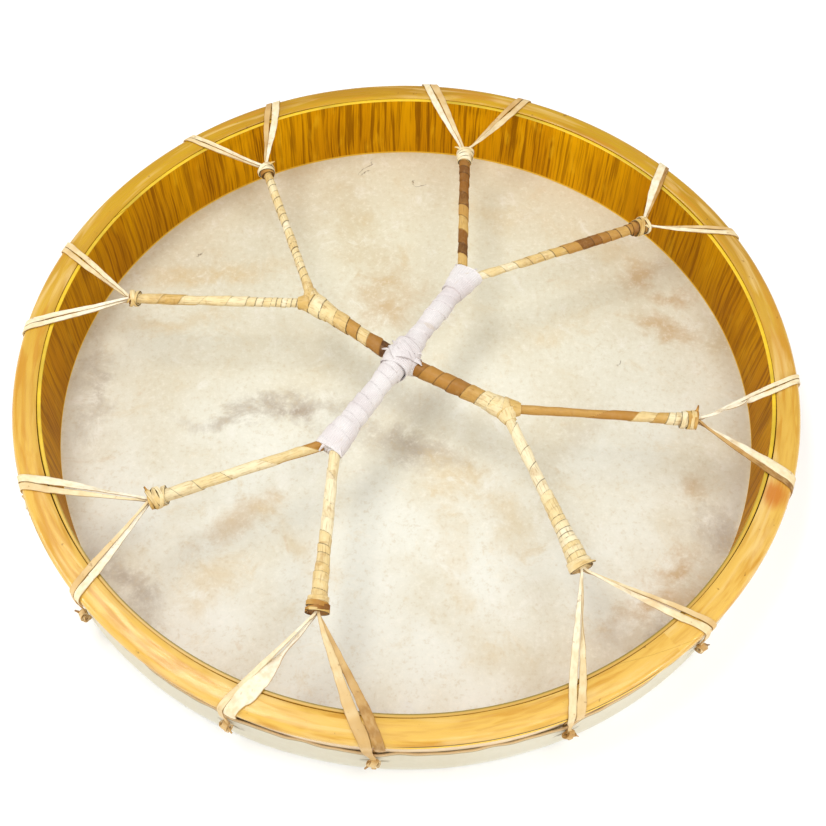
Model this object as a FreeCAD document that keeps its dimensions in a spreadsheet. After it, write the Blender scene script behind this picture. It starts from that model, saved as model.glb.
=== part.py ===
import FreeCAD, Part
import Sketcher
import math
import os

# Frame drum lying on its playing face. A rawhide head is drawn over a hoop stack and held by
# sixteen doubled rawhide thongs, which are bound together into eight spokes and a centre cross.
# Millimetres, +Z up. The origin is the centre of the head's outer face, on the ground.

Vector = FreeCAD.Vector
UP = Vector(0, 0, 1)

SIZES = {
    # hoop stack, seen as a radial section
    "hide_thickness": 1.5,
    "shell_inner_radius": 208.9,
    "shell_outer_radius": 211,
    "shell_top": 50.3,
    "hoop_outer_radius": 220,
    "hoop_top": 35.5,
    "hoop_edge_round": 1.8,
    "rim_foot_radius": 220.8,
    "rim_inner_top": 51.2,
    "rim_shoulder_centre": 221.5,
    "rim_shoulder_level": 47.1,
    "rim_shoulder_round": 3.8,
    "scarf_gap": 0.4,
    # head and its skirt
    "skirt_inner_radius": 221.6,
    "skirt_outer_radius": 223.2,
    "skirt_top": 24.8,
    "skirt_inner_round": 2.2,
    "skirt_outer_round": 3.6,
    "slit_level": 18,
    "slit_half_length": 8,
    "slit_half_height": 3.2,
    "slit_depth": 4,
    # lacing web
    "web_level": 51,
    "over_level": 53.1,
    "under_level": 47.8,
    "thong_thickness": 1.1,
    "strand_side": 1.6,
    "strand_offset": 0.85,
    "spoke_bore": 2.45,
    "spoke_radius": 3.2,
    "collar_radius": 5.4,
    "collar_length": 9,
    "cord_side": 5.6,
    "cord_flat_width": 9.6,
    "cord_flat_height": 4.6,
    "arm_bore": 4.1,
    "tape_arm_radius": 7,
    "hide_arm_radius": 5.4,
    "arm_clearance": 8,
    "junction_stop": 6.5,
    "binding_wall": 1.2,
    "binding_reach": 9,
    "crossing_reach_over": 14,
    "crossing_reach_under": 10.5,
}

# Plan positions: the crossing, then each junction as distance from the drum's centre and bearing.
CROSSING = Vector(-3.3, 0, 0)
JUNCTIONS = {
    "a": (65.2, 61.0),
    "b": (67.7, 235.4),
    "c": (68.1, 146.0),
    "d": (63.7, 329.4),
}

# Each spoke: its junction, the distance and bearing of its outer end, then for each of its two
# thongs the bearing of the slit that holds it and the width of its band.
SPOKES = {
    1: ("c", 173, 123.0, {"a": (130.8, 2.8), "b": (114.7, 4.2)}),
    2: ("a", 166, 78.3, {"a": (87.6, 4.4), "b": (70.8, 3.6)}),
    3: ("a", 178, 35.8, {"a": (43.5, 3.9), "b": (26.4, 2.7)}),
    4: ("d", 167, 347.0, {"a": (358.2, 2.7), "b": (339.8, 4.8)}),
    5: ("d", 160, 305.8, {"a": (314.6, 3.8), "b": (292.6, 4.2)}),
    6: ("b", 163, 254.8, {"a": (267.0, 6.0), "b": (247.4, 6.2)}),
    7: ("b", 166, 215.1, {"a": (221.8, 4.0), "b": (202.4, 4.2)}),
    8: ("c", 170, 166.8, {"a": (175.8, 3.3), "b": (159.8, 3.4)}),
}

# Bearing of the glued scarf joint in the shell and in the rim, the slope of the cut to the
# tangent, and the lath's two faces. The outer hoop's own joint is under the head's skirt and is
# left closed.
SCARFS = {
    "inner_shell": (150, 12, "shell_inner_radius", "shell_outer_radius"),
    "rim_hoop": (309, 17, "shell_outer_radius", "hoop_outer_radius"),
}
SCARF_LENGTH = 120
CUT_OVERRUN = 10

# Where the rim's shoulder arc leaves the sloping wall and where it meets the crown, in degrees.
SHOULDER_SPAN = (-22.5, 88)

# Thong route. Bands rise clear of the crown and the shoulder, cross the shoulder at these angles,
# and drop to the slit: radius, level, then shares of the sideways spread and of the band's width.
SHOULDER_ANGLES = (84, 63, 42, 21, 0, -16)
CROWN_CLEARANCE = 0.15
SHOULDER_CLEARANCE = 0.45
BAND_GAP = 0.7
FRONT_DROP = [(226.4, 41, 0.85, 0.85), (225.3, 34, 0.5, 0.72), (224.9, 27, 0.2, 0.62)]
BEHIND_DROP = [(225.0, 41, 0.85, 0.8), (222.3, 33, 0.45, 0.64), (220.8, 27, 0.2, 0.58)]

# The bight through the slit: radius and level from the inner face of the skirt to its outer face.
BIGHT = [(220.8, 21.6), (221.5, 19), (222.9, 17.5), (224.8, 16.9), (226.7, 17.6),
         (227.7, 19.5), (227.2, 21.6), (225.8, 23.2)]
BIGHT_WIDTH = 0.56
NECK_REACH = 9

doc = FreeCAD.newDocument("frame_drum")
sheet = doc.addObject("Spreadsheet::Sheet", "sizes")
for row, (alias, value) in enumerate(SIZES.items(), start=1):
    sheet.set(f"A{row}", alias)
    sheet.set(f"B{row}", str(value))
    sheet.setAlias(f"B{row}", alias)
doc.recompute()

nodes = []


def size(alias):
    return float(sheet.get(alias))


def bind(item, prop, formula):
    item.setExpression(prop, formula)


def polar(radius, bearing, level=0.0):
    angle = math.radians(bearing)
    return Vector(radius * math.cos(angle), radius * math.sin(angle), level)


def keep(item, label):
    item.Label = label
    nodes.append(item)
    return item


# ---------------------------------------------------------------- turned hoops and head

def section_sketch(body, name):
    sketch = body.newObject("Sketcher::SketchObject", name)
    plane = next(f for f in body.Origin.OriginFeatures if f.Role == "XZ_Plane")
    sketch.AttachmentSupport = (plane, [""])
    sketch.MapMode = "FlatFace"
    return sketch


def pin_point(sketch, line, end, radius_alias, level_alias, tag):
    """Hold one end of a line at a radius and a level read from the sheet; None means zero."""
    for axis, alias in (("X", radius_alias), ("Y", level_alias)):
        if alias is None:
            target = -2 if axis == "X" else -1
            sketch.addConstraint(Sketcher.Constraint("PointOnObject", line, end, target))
            continue
        spot = sketch.addConstraint(
            Sketcher.Constraint(f"Distance{axis}", -1, 1, line, end, size(alias)))
        sketch.renameConstraint(spot, f"{tag}_{axis.lower()}")
        bind(sketch, f"Constraints.{tag}_{axis.lower()}", f"sizes.{alias}")


def corner(radius_alias, level_alias):
    radius = 0.0 if radius_alias is None else size(radius_alias)
    level = 0.0 if level_alias is None else size(level_alias)
    return Vector(radius, level, 0)


def polygon(sketch, corners):
    """Closed outline through (radius, level) pairs of sheet aliases."""
    count = len(corners)
    for index in range(count):
        start, end = corner(*corners[index]), corner(*corners[(index + 1) % count])
        sketch.addGeometry(Part.LineSegment(start, end), False)
    for index in range(count):
        following = (index + 1) % count
        sketch.addConstraint(Sketcher.Constraint("Coincident", index, 2, following, 1))
        pin_point(sketch, index, 1, *corners[index], f"corner_{index}")


def revolve(body, sketch):
    turned = body.newObject("PartDesign::Revolution", f"{body.Name}_turned")
    turned.Profile = sketch
    turned.ReferenceAxis = (sketch, ["V_Axis"])
    turned.Angle = 360
    sketch.Visibility = False
    doc.recompute()
    return turned


def round_rim_edge(body, base, radius_alias, level_alias, round_alias):
    """Fillet the one circular edge of a turned body at the given radius and level."""
    radius, level = corner(radius_alias, level_alias)[:2]
    names = []
    for index, edge in enumerate(base.Shape.Edges, start=1):
        if not isinstance(edge.Curve, Part.Circle):
            continue
        near_radius = abs(edge.Curve.Radius - radius) < 0.01
        if near_radius and abs(edge.Curve.Center.z - level) < 0.01:
            names.append(f"Edge{index}")
    rounded = body.newObject("PartDesign::Fillet", f"{body.Name}_round_{round_alias}")
    rounded.Base = (base, names)
    bind(rounded, "Radius", f"sizes.{round_alias}")
    doc.recompute()
    return rounded


def scarf_cut(body, label, height_alias):
    """A thin sloping slot where the two ends of a bent lath are glued face to face."""
    bearing, slope, inner_face, outer_face = SCARFS[label]
    slot = doc.addObject("Part::Box", f"{label}_slot")
    slot.Length = SCARF_LENGTH
    bind(slot, "Width", "sizes.scarf_gap")
    bind(slot, "Height", f"sizes.{height_alias} + {2 * CUT_OVERRUN}")
    middle = (size(inner_face) + size(outer_face)) / 2
    turn = FreeCAD.Rotation(UP, bearing + 90 - slope)
    centre = polar(middle, bearing, -CUT_OVERRUN)
    half = Vector(SCARF_LENGTH / 2, size("scarf_gap") / 2, 0)
    slot.Placement = FreeCAD.Placement(centre - turn.multVec(half), turn)
    result = doc.addObject("Part::Cut", f"{label}_jointed")
    result.Base = body
    result.Tool = slot
    doc.recompute()
    assert result.Shape.Volume < body.Shape.Volume - 1
    return keep(result, label)


def turned_hoop(label, corners):
    body = doc.addObject("PartDesign::Body", f"{label}_blank")
    sketch = section_sketch(body, f"{label}_section")
    polygon(sketch, corners)
    return body, revolve(body, sketch)


def make_inner_shell():
    body, _ = turned_hoop("inner_shell", [
        ("shell_inner_radius", "hide_thickness"), ("shell_outer_radius", "hide_thickness"),
        ("shell_outer_radius", "shell_top"), ("shell_inner_radius", "shell_top")])
    return scarf_cut(body, "inner_shell", "shell_top")


def make_outer_hoop():
    body, turned = turned_hoop("outer_hoop", [
        ("shell_outer_radius", "hide_thickness"), ("hoop_outer_radius", "hide_thickness"),
        ("hoop_outer_radius", "hoop_top"), ("shell_outer_radius", "hoop_top")])
    round_rim_edge(body, turned, "hoop_outer_radius", "hide_thickness", "hoop_edge_round")
    return keep(body, "outer_hoop")


def make_rim_hoop():
    """The upper hoop: flat crown, round shoulder and an outer wall that leans in to its foot."""
    body = doc.addObject("PartDesign::Body", "rim_hoop_blank")
    sketch = section_sketch(body, "rim_hoop_section")
    centre = corner("rim_shoulder_centre", "rim_shoulder_level")
    reach = size("rim_shoulder_round")
    low, high = (math.radians(angle) for angle in SHOULDER_SPAN)
    circle = Part.Circle(centre, Vector(0, 0, 1), reach)
    arc = Part.ArcOfCircle(circle, low, high)
    inner_foot = corner("shell_outer_radius", "hoop_top")
    outer_foot = corner("rim_foot_radius", "hoop_top")
    inner_top = corner("shell_outer_radius", "rim_inner_top")
    sketch.addGeometry(Part.LineSegment(inner_foot, outer_foot), False)
    sketch.addGeometry(Part.LineSegment(outer_foot, arc.StartPoint), False)
    sketch.addGeometry(arc, False)
    sketch.addGeometry(Part.LineSegment(arc.EndPoint, inner_top), False)
    sketch.addGeometry(Part.LineSegment(inner_top, inner_foot), False)
    sketch.addConstraint(Sketcher.Constraint("Coincident", 0, 2, 1, 1))
    sketch.addConstraint(Sketcher.Constraint("Tangent", 1, 2, 2, 1))
    sketch.addConstraint(Sketcher.Constraint("Tangent", 2, 2, 3, 1))
    sketch.addConstraint(Sketcher.Constraint("Coincident", 3, 2, 4, 1))
    sketch.addConstraint(Sketcher.Constraint("Coincident", 4, 2, 0, 1))
    pin_point(sketch, 0, 1, "shell_outer_radius", "hoop_top", "inner_foot")
    pin_point(sketch, 1, 1, "rim_foot_radius", "hoop_top", "outer_foot")
    pin_point(sketch, 4, 1, "shell_outer_radius", "rim_inner_top", "inner_top")
    pin_point(sketch, 2, 3, "rim_shoulder_centre", "rim_shoulder_level", "shoulder")
    spot = sketch.addConstraint(Sketcher.Constraint("Radius", 2, reach))
    sketch.renameConstraint(spot, "shoulder_round")
    bind(sketch, "Constraints.shoulder_round", "sizes.rim_shoulder_round")
    revolve(body, sketch)
    return scarf_cut(body, "rim_hoop", "rim_inner_top")


def slit_lens(name, bearing):
    """Cutter for one slit pulled open by its thong: where two radial cylinders overlap."""
    half_length, half_height = size("slit_half_length"), size("slit_half_height")
    radius = (half_length ** 2 + half_height ** 2) / (2 * half_height)
    start = polar(size("skirt_inner_radius") - 0.8, bearing, size("slit_level"))
    drums = []
    for tag, lift in (("upper", radius - half_height), ("lower", half_height - radius)):
        drum = doc.addObject("Part::Cylinder", f"{name}_{tag}")
        drum.Radius = radius
        bind(drum, "Height", "sizes.slit_depth")
        drum.Placement = FreeCAD.Placement(
            start + UP * lift, FreeCAD.Rotation(UP, polar(1, bearing)))
        drums.append(drum)
    lens = doc.addObject("Part::Common", name)
    lens.Base, lens.Tool = drums
    return lens


def make_drum_head():
    """Hide stretched flat over the hoops and turned up into a skirt with sixteen lace slits."""
    body, turned = turned_hoop("drum_head", [
        (None, None), ("skirt_outer_radius", None), ("skirt_outer_radius", "skirt_top"),
        ("skirt_inner_radius", "skirt_top"), ("skirt_inner_radius", "hide_thickness"),
        (None, "hide_thickness")])
    inside = round_rim_edge(body, turned, "skirt_inner_radius", "hide_thickness",
                            "skirt_inner_round")
    round_rim_edge(body, inside, "skirt_outer_radius", None, "skirt_outer_round")
    slits = []
    for number, (_, _, _, thongs) in SPOKES.items():
        for side, (bearing, _) in thongs.items():
            slits.append(slit_lens(f"slit_{number}{side}", bearing))
    all_slits = doc.addObject("Part::MultiFuse", "slits")
    all_slits.Shapes = slits
    head = doc.addObject("Part::Cut", "drum_head_slit")
    head.Base = body
    head.Tool = all_slits
    doc.recompute()
    assert head.Shape.Volume < body.Shape.Volume - 16 * 30
    return keep(head, "drum_head")


# ---------------------------------------------------------------- lacing web

def junction_point(key):
    return polar(*JUNCTIONS[key], size("web_level"))


def spoke_end(number):
    _, reach, bearing, _ = SPOKES[number]
    return polar(reach, bearing, size("web_level"))


def spoke_direction(number):
    start = junction_point(SPOKES[number][0])
    return (spoke_end(number) - start).normalize()


def toward(start, direction):
    """Placement that puts an object's own Z along the direction, from the start point."""
    return FreeCAD.Placement(start, FreeCAD.Rotation(UP, direction))


def rod(name, start, direction, radius_formula, length):
    piece = doc.addObject("Part::Cylinder", name)
    bind(piece, "Radius", radius_formula)
    piece.Height = length
    piece.Placement = toward(start, direction)
    return piece


def sleeve(label, start, direction, bore_formula, outer_formula, length):
    """A plain wrapped tube: outer rod less a bore that runs past both ends."""
    outer = rod(f"{label}_outer", start, direction, outer_formula, length)
    bore = rod(f"{label}_bore", start - direction * 1, direction, bore_formula, length + 2)
    tube = doc.addObject("Part::Cut", f"{label}_tube")
    tube.Base = outer
    tube.Tool = bore
    return keep(tube, label), outer


def band_section(centre, across, along, width, thickness):
    """Rectangle across a band: width along one direction, thickness along the band's normal."""
    across = Vector(across).normalize()
    normal = across.cross(along).normalize()
    half_width = across * (width / 2)
    half_thickness = normal * (thickness / 2)
    corners = [
        centre + half_width + half_thickness, centre - half_width + half_thickness,
        centre - half_width - half_thickness, centre + half_width - half_thickness]
    return Part.makePolygon(corners + corners[:1])


def banded_solid(stations):
    """Ruled solid through (centre, across, width, thickness) stations along a route."""
    wires = []
    last = len(stations) - 1
    for index, (centre, across, width, thickness) in enumerate(stations):
        before = stations[max(index - 1, 0)][0]
        after = stations[min(index + 1, last)][0]
        wires.append(band_section(centre, across, after - before, width, thickness))
    solid = Part.makeLoft(wires, True, True)
    if solid.Volume < 0:
        solid.reverse()
    return solid


def plain_feature(label, shape, at=Vector(0, 0, 0)):
    piece = doc.addObject("Part::Feature", label)
    piece.Shape = shape
    piece.Placement = FreeCAD.Placement(at, FreeCAD.Rotation())
    return keep(piece, label)


def thong_half(number, side, front):
    """Stations of one band, from the junction out to just above the skirt's slit."""
    key, _, _, thongs = SPOKES[number]
    bearing, width = thongs[side]
    thickness = size("thong_thickness")
    strand = size("strand_side")
    offset = size("strand_offset")
    spoke = spoke_direction(number)
    outward, sideways = polar(1, bearing), polar(1, bearing + 90)
    across = UP.cross(spoke)
    lean = offset if side == "a" else -offset
    lift = offset if front else -offset
    start = junction_point(key) + spoke * size("junction_stop")
    tip = spoke_end(number)
    stations = []
    for point in (start, tip):
        stations.append((point + across * lean + UP * lift, across, strand, strand))
    spread = (width + BAND_GAP) / 2 * (-1 if front else 1)
    shoulder_reach = size("rim_shoulder_round") + thickness / 2 + SHOULDER_CLEARANCE
    centre_radius, centre_level = size("rim_shoulder_centre"), size("rim_shoulder_level")
    crown = size("rim_inner_top") + thickness / 2 + CROWN_CLEARANCE
    profile = [(size("shell_inner_radius") + 1, crown + 0.1), (centre_radius - 6, crown)]
    for angle in SHOULDER_ANGLES:
        turn = math.radians(angle)
        profile.append((centre_radius + shoulder_reach * math.cos(turn),
                        centre_level + shoulder_reach * math.sin(turn)))
    landing = polar(profile[-1][0], bearing)
    run = landing - Vector(tip.x, tip.y, 0)
    run_length = run.Length
    run = run.normalize()
    run_across = UP.cross(run)
    neck = tip + run * NECK_REACH + run_across * (spread * 0.45) + UP * (lift * 0.8)
    stations.append((neck, run_across, width * 0.6, thickness))
    for index, (radius, level) in enumerate(profile):
        share = min(index / 2, 1)
        flat_tip = Vector(tip.x, tip.y, 0)
        reach = run_to_radius(flat_tip, run, run_length, radius)
        wide = run_across * (1 - share) + sideways * share
        centre = flat_tip + run * reach + wide.normalize() * spread
        centre.z = level
        stations.append((centre, wide, width, thickness))
    for radius, level, shift, narrow in FRONT_DROP if front else BEHIND_DROP:
        centre = outward * radius + sideways * (spread * shift) + UP * level
        stations.append((centre, sideways, width * narrow, thickness))
    return stations


def run_to_radius(start, run, length, radius):
    """Distance along a straight plan run at which it meets the given radius."""
    ahead = start.dot(run)
    under_root = ahead * ahead - start.dot(start) + radius * radius
    return min(-ahead + math.sqrt(under_root), length)


def make_thong(number, side):
    """One thong: out along its first band, through the slit as a small bight, and back."""
    bearing, width = SPOKES[number][3][side]
    outward, sideways = polar(1, bearing), polar(1, bearing + 90)
    stations = thong_half(number, side, front=False)
    for radius, level in BIGHT:
        centre = outward * radius + UP * level
        stations.append((centre, sideways, width * BIGHT_WIDTH, size("thong_thickness")))
    stations += list(reversed(thong_half(number, side, front=True)))
    return plain_feature(f"thong_{number}{side}", banded_solid(stations))


def make_spoke(number):
    """Spiral binding over the four strands of a spoke, and the knotted collar at its end."""
    start = junction_point(SPOKES[number][0])
    spoke = spoke_direction(number)
    stop = size("junction_stop")
    length = (spoke_end(number) - start).Length - stop
    _, outer = sleeve(f"spoke_{number}_wrap", start + spoke * stop, spoke,
                      "sizes.spoke_bore", "sizes.spoke_radius", length)
    collar_start = spoke_end(number) - spoke * (size("collar_length") - 1)
    sleeve(f"spoke_{number}_collar", collar_start, spoke,
           "sizes.spoke_radius", "sizes.collar_radius", size("collar_length"))
    return outer


def crossing_point(level_alias):
    return Vector(CROSSING.x, CROSSING.y, size(level_alias))


def make_cord(label, first, second, level_alias):
    """Bundled strands of a cross bar, square at its ends and pressed flat at the crossing."""
    side = size("cord_side")
    wide, thin = size("cord_flat_width"), size("cord_flat_height")
    middle = crossing_point(level_alias)
    route = []
    for key, inward in ((first, True), (second, False)):
        end = junction_point(key)
        lean = (end - middle).normalize()
        near = middle + lean * size("arm_clearance")
        across = UP.cross(lean) * (1 if inward else -1)
        pair = [(end, across, side, side), (near + lean * 2, across, side, side)]
        pair.append((middle + lean * 4, across, wide, thin))
        route += pair if inward else list(reversed(pair))
    return plain_feature(label, banded_solid(route))


def make_arm(label, key, level_alias, radius_alias):
    """Wrapping round one half of a cross bar, from its junction to the crossing."""
    middle = crossing_point(level_alias)
    span = junction_point(key) - middle
    lean = Vector(span).normalize()
    clear = size("arm_clearance")
    start = middle + lean * (clear + 2)
    return sleeve(label, start, lean, "sizes.arm_bore", f"sizes.{radius_alias}",
                  span.Length - clear - 2 - 1)


def fused(name, pieces):
    joined = doc.addObject("Part::MultiFuse", name)
    joined.Shapes = pieces
    return joined


def hollowed(label, pieces, cores):
    """Binding made of joined rods and balls, hollow where the bound pieces pass through it."""
    bound = doc.addObject("Part::Cut", f"{label}_hollow")
    bound.Base = fused(f"{label}_mass", pieces)
    bound.Tool = fused(f"{label}_cores", cores)
    doc.recompute()
    assert bound.Shape.Volume < bound.Base.Shape.Volume - 10
    return keep(bound, label)


def ball(name, centre, radius_formula):
    piece = doc.addObject("Part::Sphere", name)
    bind(piece, "Radius", radius_formula)
    piece.Placement = FreeCAD.Placement(centre, FreeCAD.Rotation())
    return piece


def make_junction(key, arm, arm_radius, level_alias):
    """Binding where two spokes join a cross bar: three short sleeves about a round knot."""
    label = f"junction_{key}_binding"
    centre = junction_point(key)
    wall = "sizes.binding_wall"
    lean = (crossing_point(level_alias) - centre).normalize()
    pieces = [ball(f"{label}_knot", centre, f"sizes.{arm_radius} + {wall}")]
    pieces.append(rod(f"{label}_stem", centre, lean, f"sizes.{arm_radius} + {wall}", 9))
    cores = [arm, rod(f"{label}_cord", centre, lean, "sizes.arm_bore", 12)]
    for number, (own, _, _, _) in SPOKES.items():
        if own != key:
            continue
        spoke = spoke_direction(number)
        reach = size("binding_reach")
        pieces.append(rod(f"{label}_leg_{number}", centre, spoke,
                          f"sizes.spoke_radius + {wall}", reach))
        cores.append(rod(f"{label}_core_{number}", centre + spoke * size("junction_stop"),
                         spoke, "sizes.spoke_radius", reach))
    return hollowed(label, pieces, cores)


def make_crossing(cords, arms):
    """Cloth binding over the crossing of the two bars."""
    label = "crossing_binding"
    pieces = []
    for tag, keys, level_alias, radius in (
            ("over", ("a", "b"), "over_level", "tape_arm_radius"),
            ("under", ("c", "d"), "under_level", "hide_arm_radius")):
        middle = crossing_point(level_alias)
        for key in keys:
            lean = (junction_point(key) - middle).normalize()
            pieces.append(rod(f"{label}_{tag}_{key}", middle, lean,
                              f"sizes.{radius} + sizes.binding_wall",
                              size(f"crossing_reach_{tag}")))
        pieces.append(ball(f"{label}_{tag}_ball", middle, f"sizes.{radius} + sizes.binding_wall"))
    return hollowed(label, pieces, cords + arms)


def build():
    make_inner_shell()
    make_outer_hoop()
    make_rim_hoop()
    make_drum_head()
    for number, (_, _, _, thongs) in SPOKES.items():
        make_spoke(number)
        for side in thongs:
            make_thong(number, side)
    over = make_cord("tape_bar_cord", "a", "b", "over_level")
    under = make_cord("hide_bar_cord", "c", "d", "under_level")
    arms = []
    for key, kind, level_alias in (("a", "tape", "over_level"), ("b", "tape", "over_level"),
                                   ("c", "hide", "under_level"), ("d", "hide", "under_level")):
        radius_alias = f"{kind}_arm_radius"
        _, outer = make_arm(f"{kind}_arm_{key}", key, level_alias, radius_alias)
        arms.append(outer)
        make_junction(key, outer, radius_alias, level_alias)
    make_crossing([over, under], arms)
    doc.recompute()


def check_document():
    for item in doc.Objects:
        assert not {"Invalid", "Error"} & set(item.State), f"{item.Label} failed: {item.State}"
    for item in nodes:
        shape = item.Shape
        assert not shape.isNull() and shape.isValid(), f"{item.Label} has no valid shape"
        assert len(shape.Solids) == 1, f"{item.Label} has {len(shape.Solids)} solids"
        assert shape.Volume > 1, f"{item.Label} is empty"


def export():
    os.makedirs("parts", exist_ok=True)
    for item in nodes:
        item.Shape.exportStep(f"parts/{item.Label}.step")


build()
check_document()
export()
print(f"{len(nodes)} sub-parts written")
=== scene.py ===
import math
import random

import bmesh
import bpy
import numpy as np
from mathutils import Matrix, Vector


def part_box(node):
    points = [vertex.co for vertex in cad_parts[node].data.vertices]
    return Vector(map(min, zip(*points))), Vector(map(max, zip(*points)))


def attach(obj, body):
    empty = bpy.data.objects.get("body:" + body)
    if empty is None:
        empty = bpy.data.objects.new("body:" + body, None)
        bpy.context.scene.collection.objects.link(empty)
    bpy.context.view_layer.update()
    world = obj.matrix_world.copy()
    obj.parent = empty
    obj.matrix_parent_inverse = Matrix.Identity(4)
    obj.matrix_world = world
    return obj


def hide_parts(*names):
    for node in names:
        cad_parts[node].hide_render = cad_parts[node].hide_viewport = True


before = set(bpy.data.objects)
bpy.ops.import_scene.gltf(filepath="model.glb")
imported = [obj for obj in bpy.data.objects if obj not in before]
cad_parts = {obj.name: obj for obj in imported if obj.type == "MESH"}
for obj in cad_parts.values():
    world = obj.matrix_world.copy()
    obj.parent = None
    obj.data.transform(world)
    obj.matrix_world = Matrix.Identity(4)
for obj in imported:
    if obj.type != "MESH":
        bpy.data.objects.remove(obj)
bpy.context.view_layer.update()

# Looks of a laced frame drum that lies on its playing face. Metres, +Z up.

MM = 0.001
UP = Vector((0, 0, 1))

SHELL_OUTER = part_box("inner_shell")[1].x
SHELL_INNER = SHELL_OUTER - 2.1 * MM
SHELL_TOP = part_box("inner_shell")[1].z
HOOP_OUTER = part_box("outer_hoop")[1].x
HOOP_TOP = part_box("outer_hoop")[1].z
RIM_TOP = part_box("rim_hoop")[1].z
SKIRT_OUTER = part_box("drum_head")[1].x
SKIRT_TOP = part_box("drum_head")[1].z
HIDE = 1.5 * MM
SKIRT_INNER = SKIRT_OUTER - 1.6 * MM
RIM_FOOT = HOOP_OUTER + 0.8 * MM
SHOULDER_RADIUS = HOOP_OUTER + 1.5 * MM
SHOULDER_LEVEL = RIM_TOP - 4.1 * MM
SHOULDER_ROUND = 3.8 * MM

# The lacing web: the crossing, each junction's distance and bearing, and
# each spoke's junction, outer end, and the bearings of the two slits that its thongs go through.
WEB_LEVEL = 51 * MM
OVER_LEVEL = 53.1 * MM
UNDER_LEVEL = 47.8 * MM
CROSSING = Vector((-3.3 * MM, 0, 0))
JUNCTIONS = {
    "a": (65.2, 61.0),
    "b": (67.7, 235.4),
    "c": (68.1, 146.0),
    "d": (63.7, 329.4),
}
SPOKES = {
    1: ("c", 173, 123.0, {"a": 130.8, "b": 114.7}),
    2: ("a", 166, 78.3, {"a": 87.6, "b": 70.8}),
    3: ("a", 178, 35.8, {"a": 43.5, "b": 26.4}),
    4: ("d", 167, 347.0, {"a": 358.2, "b": 339.8}),
    5: ("d", 160, 305.8, {"a": 314.6, "b": 292.6}),
    6: ("b", 163, 254.8, {"a": 267.0, "b": 247.4}),
    7: ("b", 166, 215.1, {"a": 221.8, "b": 202.4}),
    8: ("c", 170, 166.8, {"a": 175.8, "b": 159.8}),
}
JUNCTION_STOP = 6.5 * MM
SLIT_LEVEL = 18 * MM


def polar(radius, bearing, level=0.0):
    angle = math.radians(bearing)
    return Vector((radius * math.cos(angle), radius * math.sin(angle), level))


def junction_point(key):
    distance, bearing = JUNCTIONS[key]
    return polar(distance * MM, bearing, WEB_LEVEL)


def spoke_end(number):
    _, reach, bearing, _ = SPOKES[number]
    return polar(reach * MM, bearing, WEB_LEVEL)


# ---------------------------------------------------------------- camera, light and floor

# The view onto the laced back: degrees above the floor, degrees of roll, distance, and aim.
CAMERA_ELEVATION = 58.22
CAMERA_ROLL = 1.27
CAMERA_DISTANCE = 0.7388
CAMERA_TARGET = Vector((0.00374, -0.00624, HIDE))
CAMERA_LENS = 52.83

# Lamps: name, place, aim, width in metres, and power in watts.
LAMPS = [
    ("key", (-0.4, 0.1, 1.2), (0, 0, 0), 0.6, 6.5),
    ("top", (0.4, -0.3, 1.2), (0, 0, 0), 0.7, 4.0),
    ("left_box", (-1.08, -0.28, 0.34), (-0.17, -0.14, 0.05), 0.34, 3.4),
    ("right_box", (0.86, -0.69, 0.34), (0.12, -0.18, 0.05), 0.34, 2.8),
    ("low_front", (0, -1.1, 0.14), (0, -0.2, 0.03), 1.3, 2.4),
]
LAMP_HEIGHT_SHARE = 0.7
WORLD_STRENGTH = 0.66


def set_camera():
    """Camera at the height and slight roll of the view onto the laced back."""
    elevation, roll = math.radians(CAMERA_ELEVATION), math.radians(CAMERA_ROLL)
    back = Vector((0, -math.cos(elevation), math.sin(elevation)))
    right = Vector((1, 0, 0))
    upward = back.cross(right)
    turn = Matrix((right, upward, back)).transposed() @ Matrix.Rotation(roll, 3, "Z")
    data = bpy.data.cameras.new("camera")
    data.sensor_width = 36
    data.lens = CAMERA_LENS
    data.clip_start = 0.01
    camera = bpy.data.objects.new("camera", data)
    place = CAMERA_TARGET + back * CAMERA_DISTANCE
    camera.matrix_world = Matrix.Translation(place) @ turn.to_4x4()
    bpy.context.scene.collection.objects.link(camera)
    bpy.context.scene.camera = camera


def area_light(name, place, aim, width, power):
    data = bpy.data.lights.new(name, "AREA")
    data.shape = "RECTANGLE"
    data.size = width
    data.size_y = width * LAMP_HEIGHT_SHARE
    data.energy = power
    lamp = bpy.data.objects.new(name, data)
    lamp.location = place
    lamp.visible_camera = False
    lamp.rotation_mode = "QUATERNION"
    lamp.rotation_quaternion = (Vector(aim) - Vector(place)).to_track_quat("-Z", "Y")
    bpy.context.scene.collection.objects.link(lamp)


def light_scene():
    scene = bpy.context.scene
    scene.view_settings.view_transform = "Standard"
    world = bpy.data.worlds.new("studio")
    world.use_nodes = True
    background = world.node_tree.nodes["Background"].inputs
    background["Color"].default_value = (1, 1, 1, 1)
    background["Strength"].default_value = WORLD_STRENGTH
    scene.world = world
    for lamp in LAMPS:
        area_light(*lamp)


# ---------------------------------------------------------------- material helpers

def tone(red, green, blue):
    """Linear colour from display values of 0 to 255."""
    linear = []
    for value in (red, green, blue):
        share = value / 255
        low = share <= 0.04045
        linear.append(share / 12.92 if low else ((share + 0.055) / 1.055) ** 2.4)
    return (*linear, 1.0)


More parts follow.
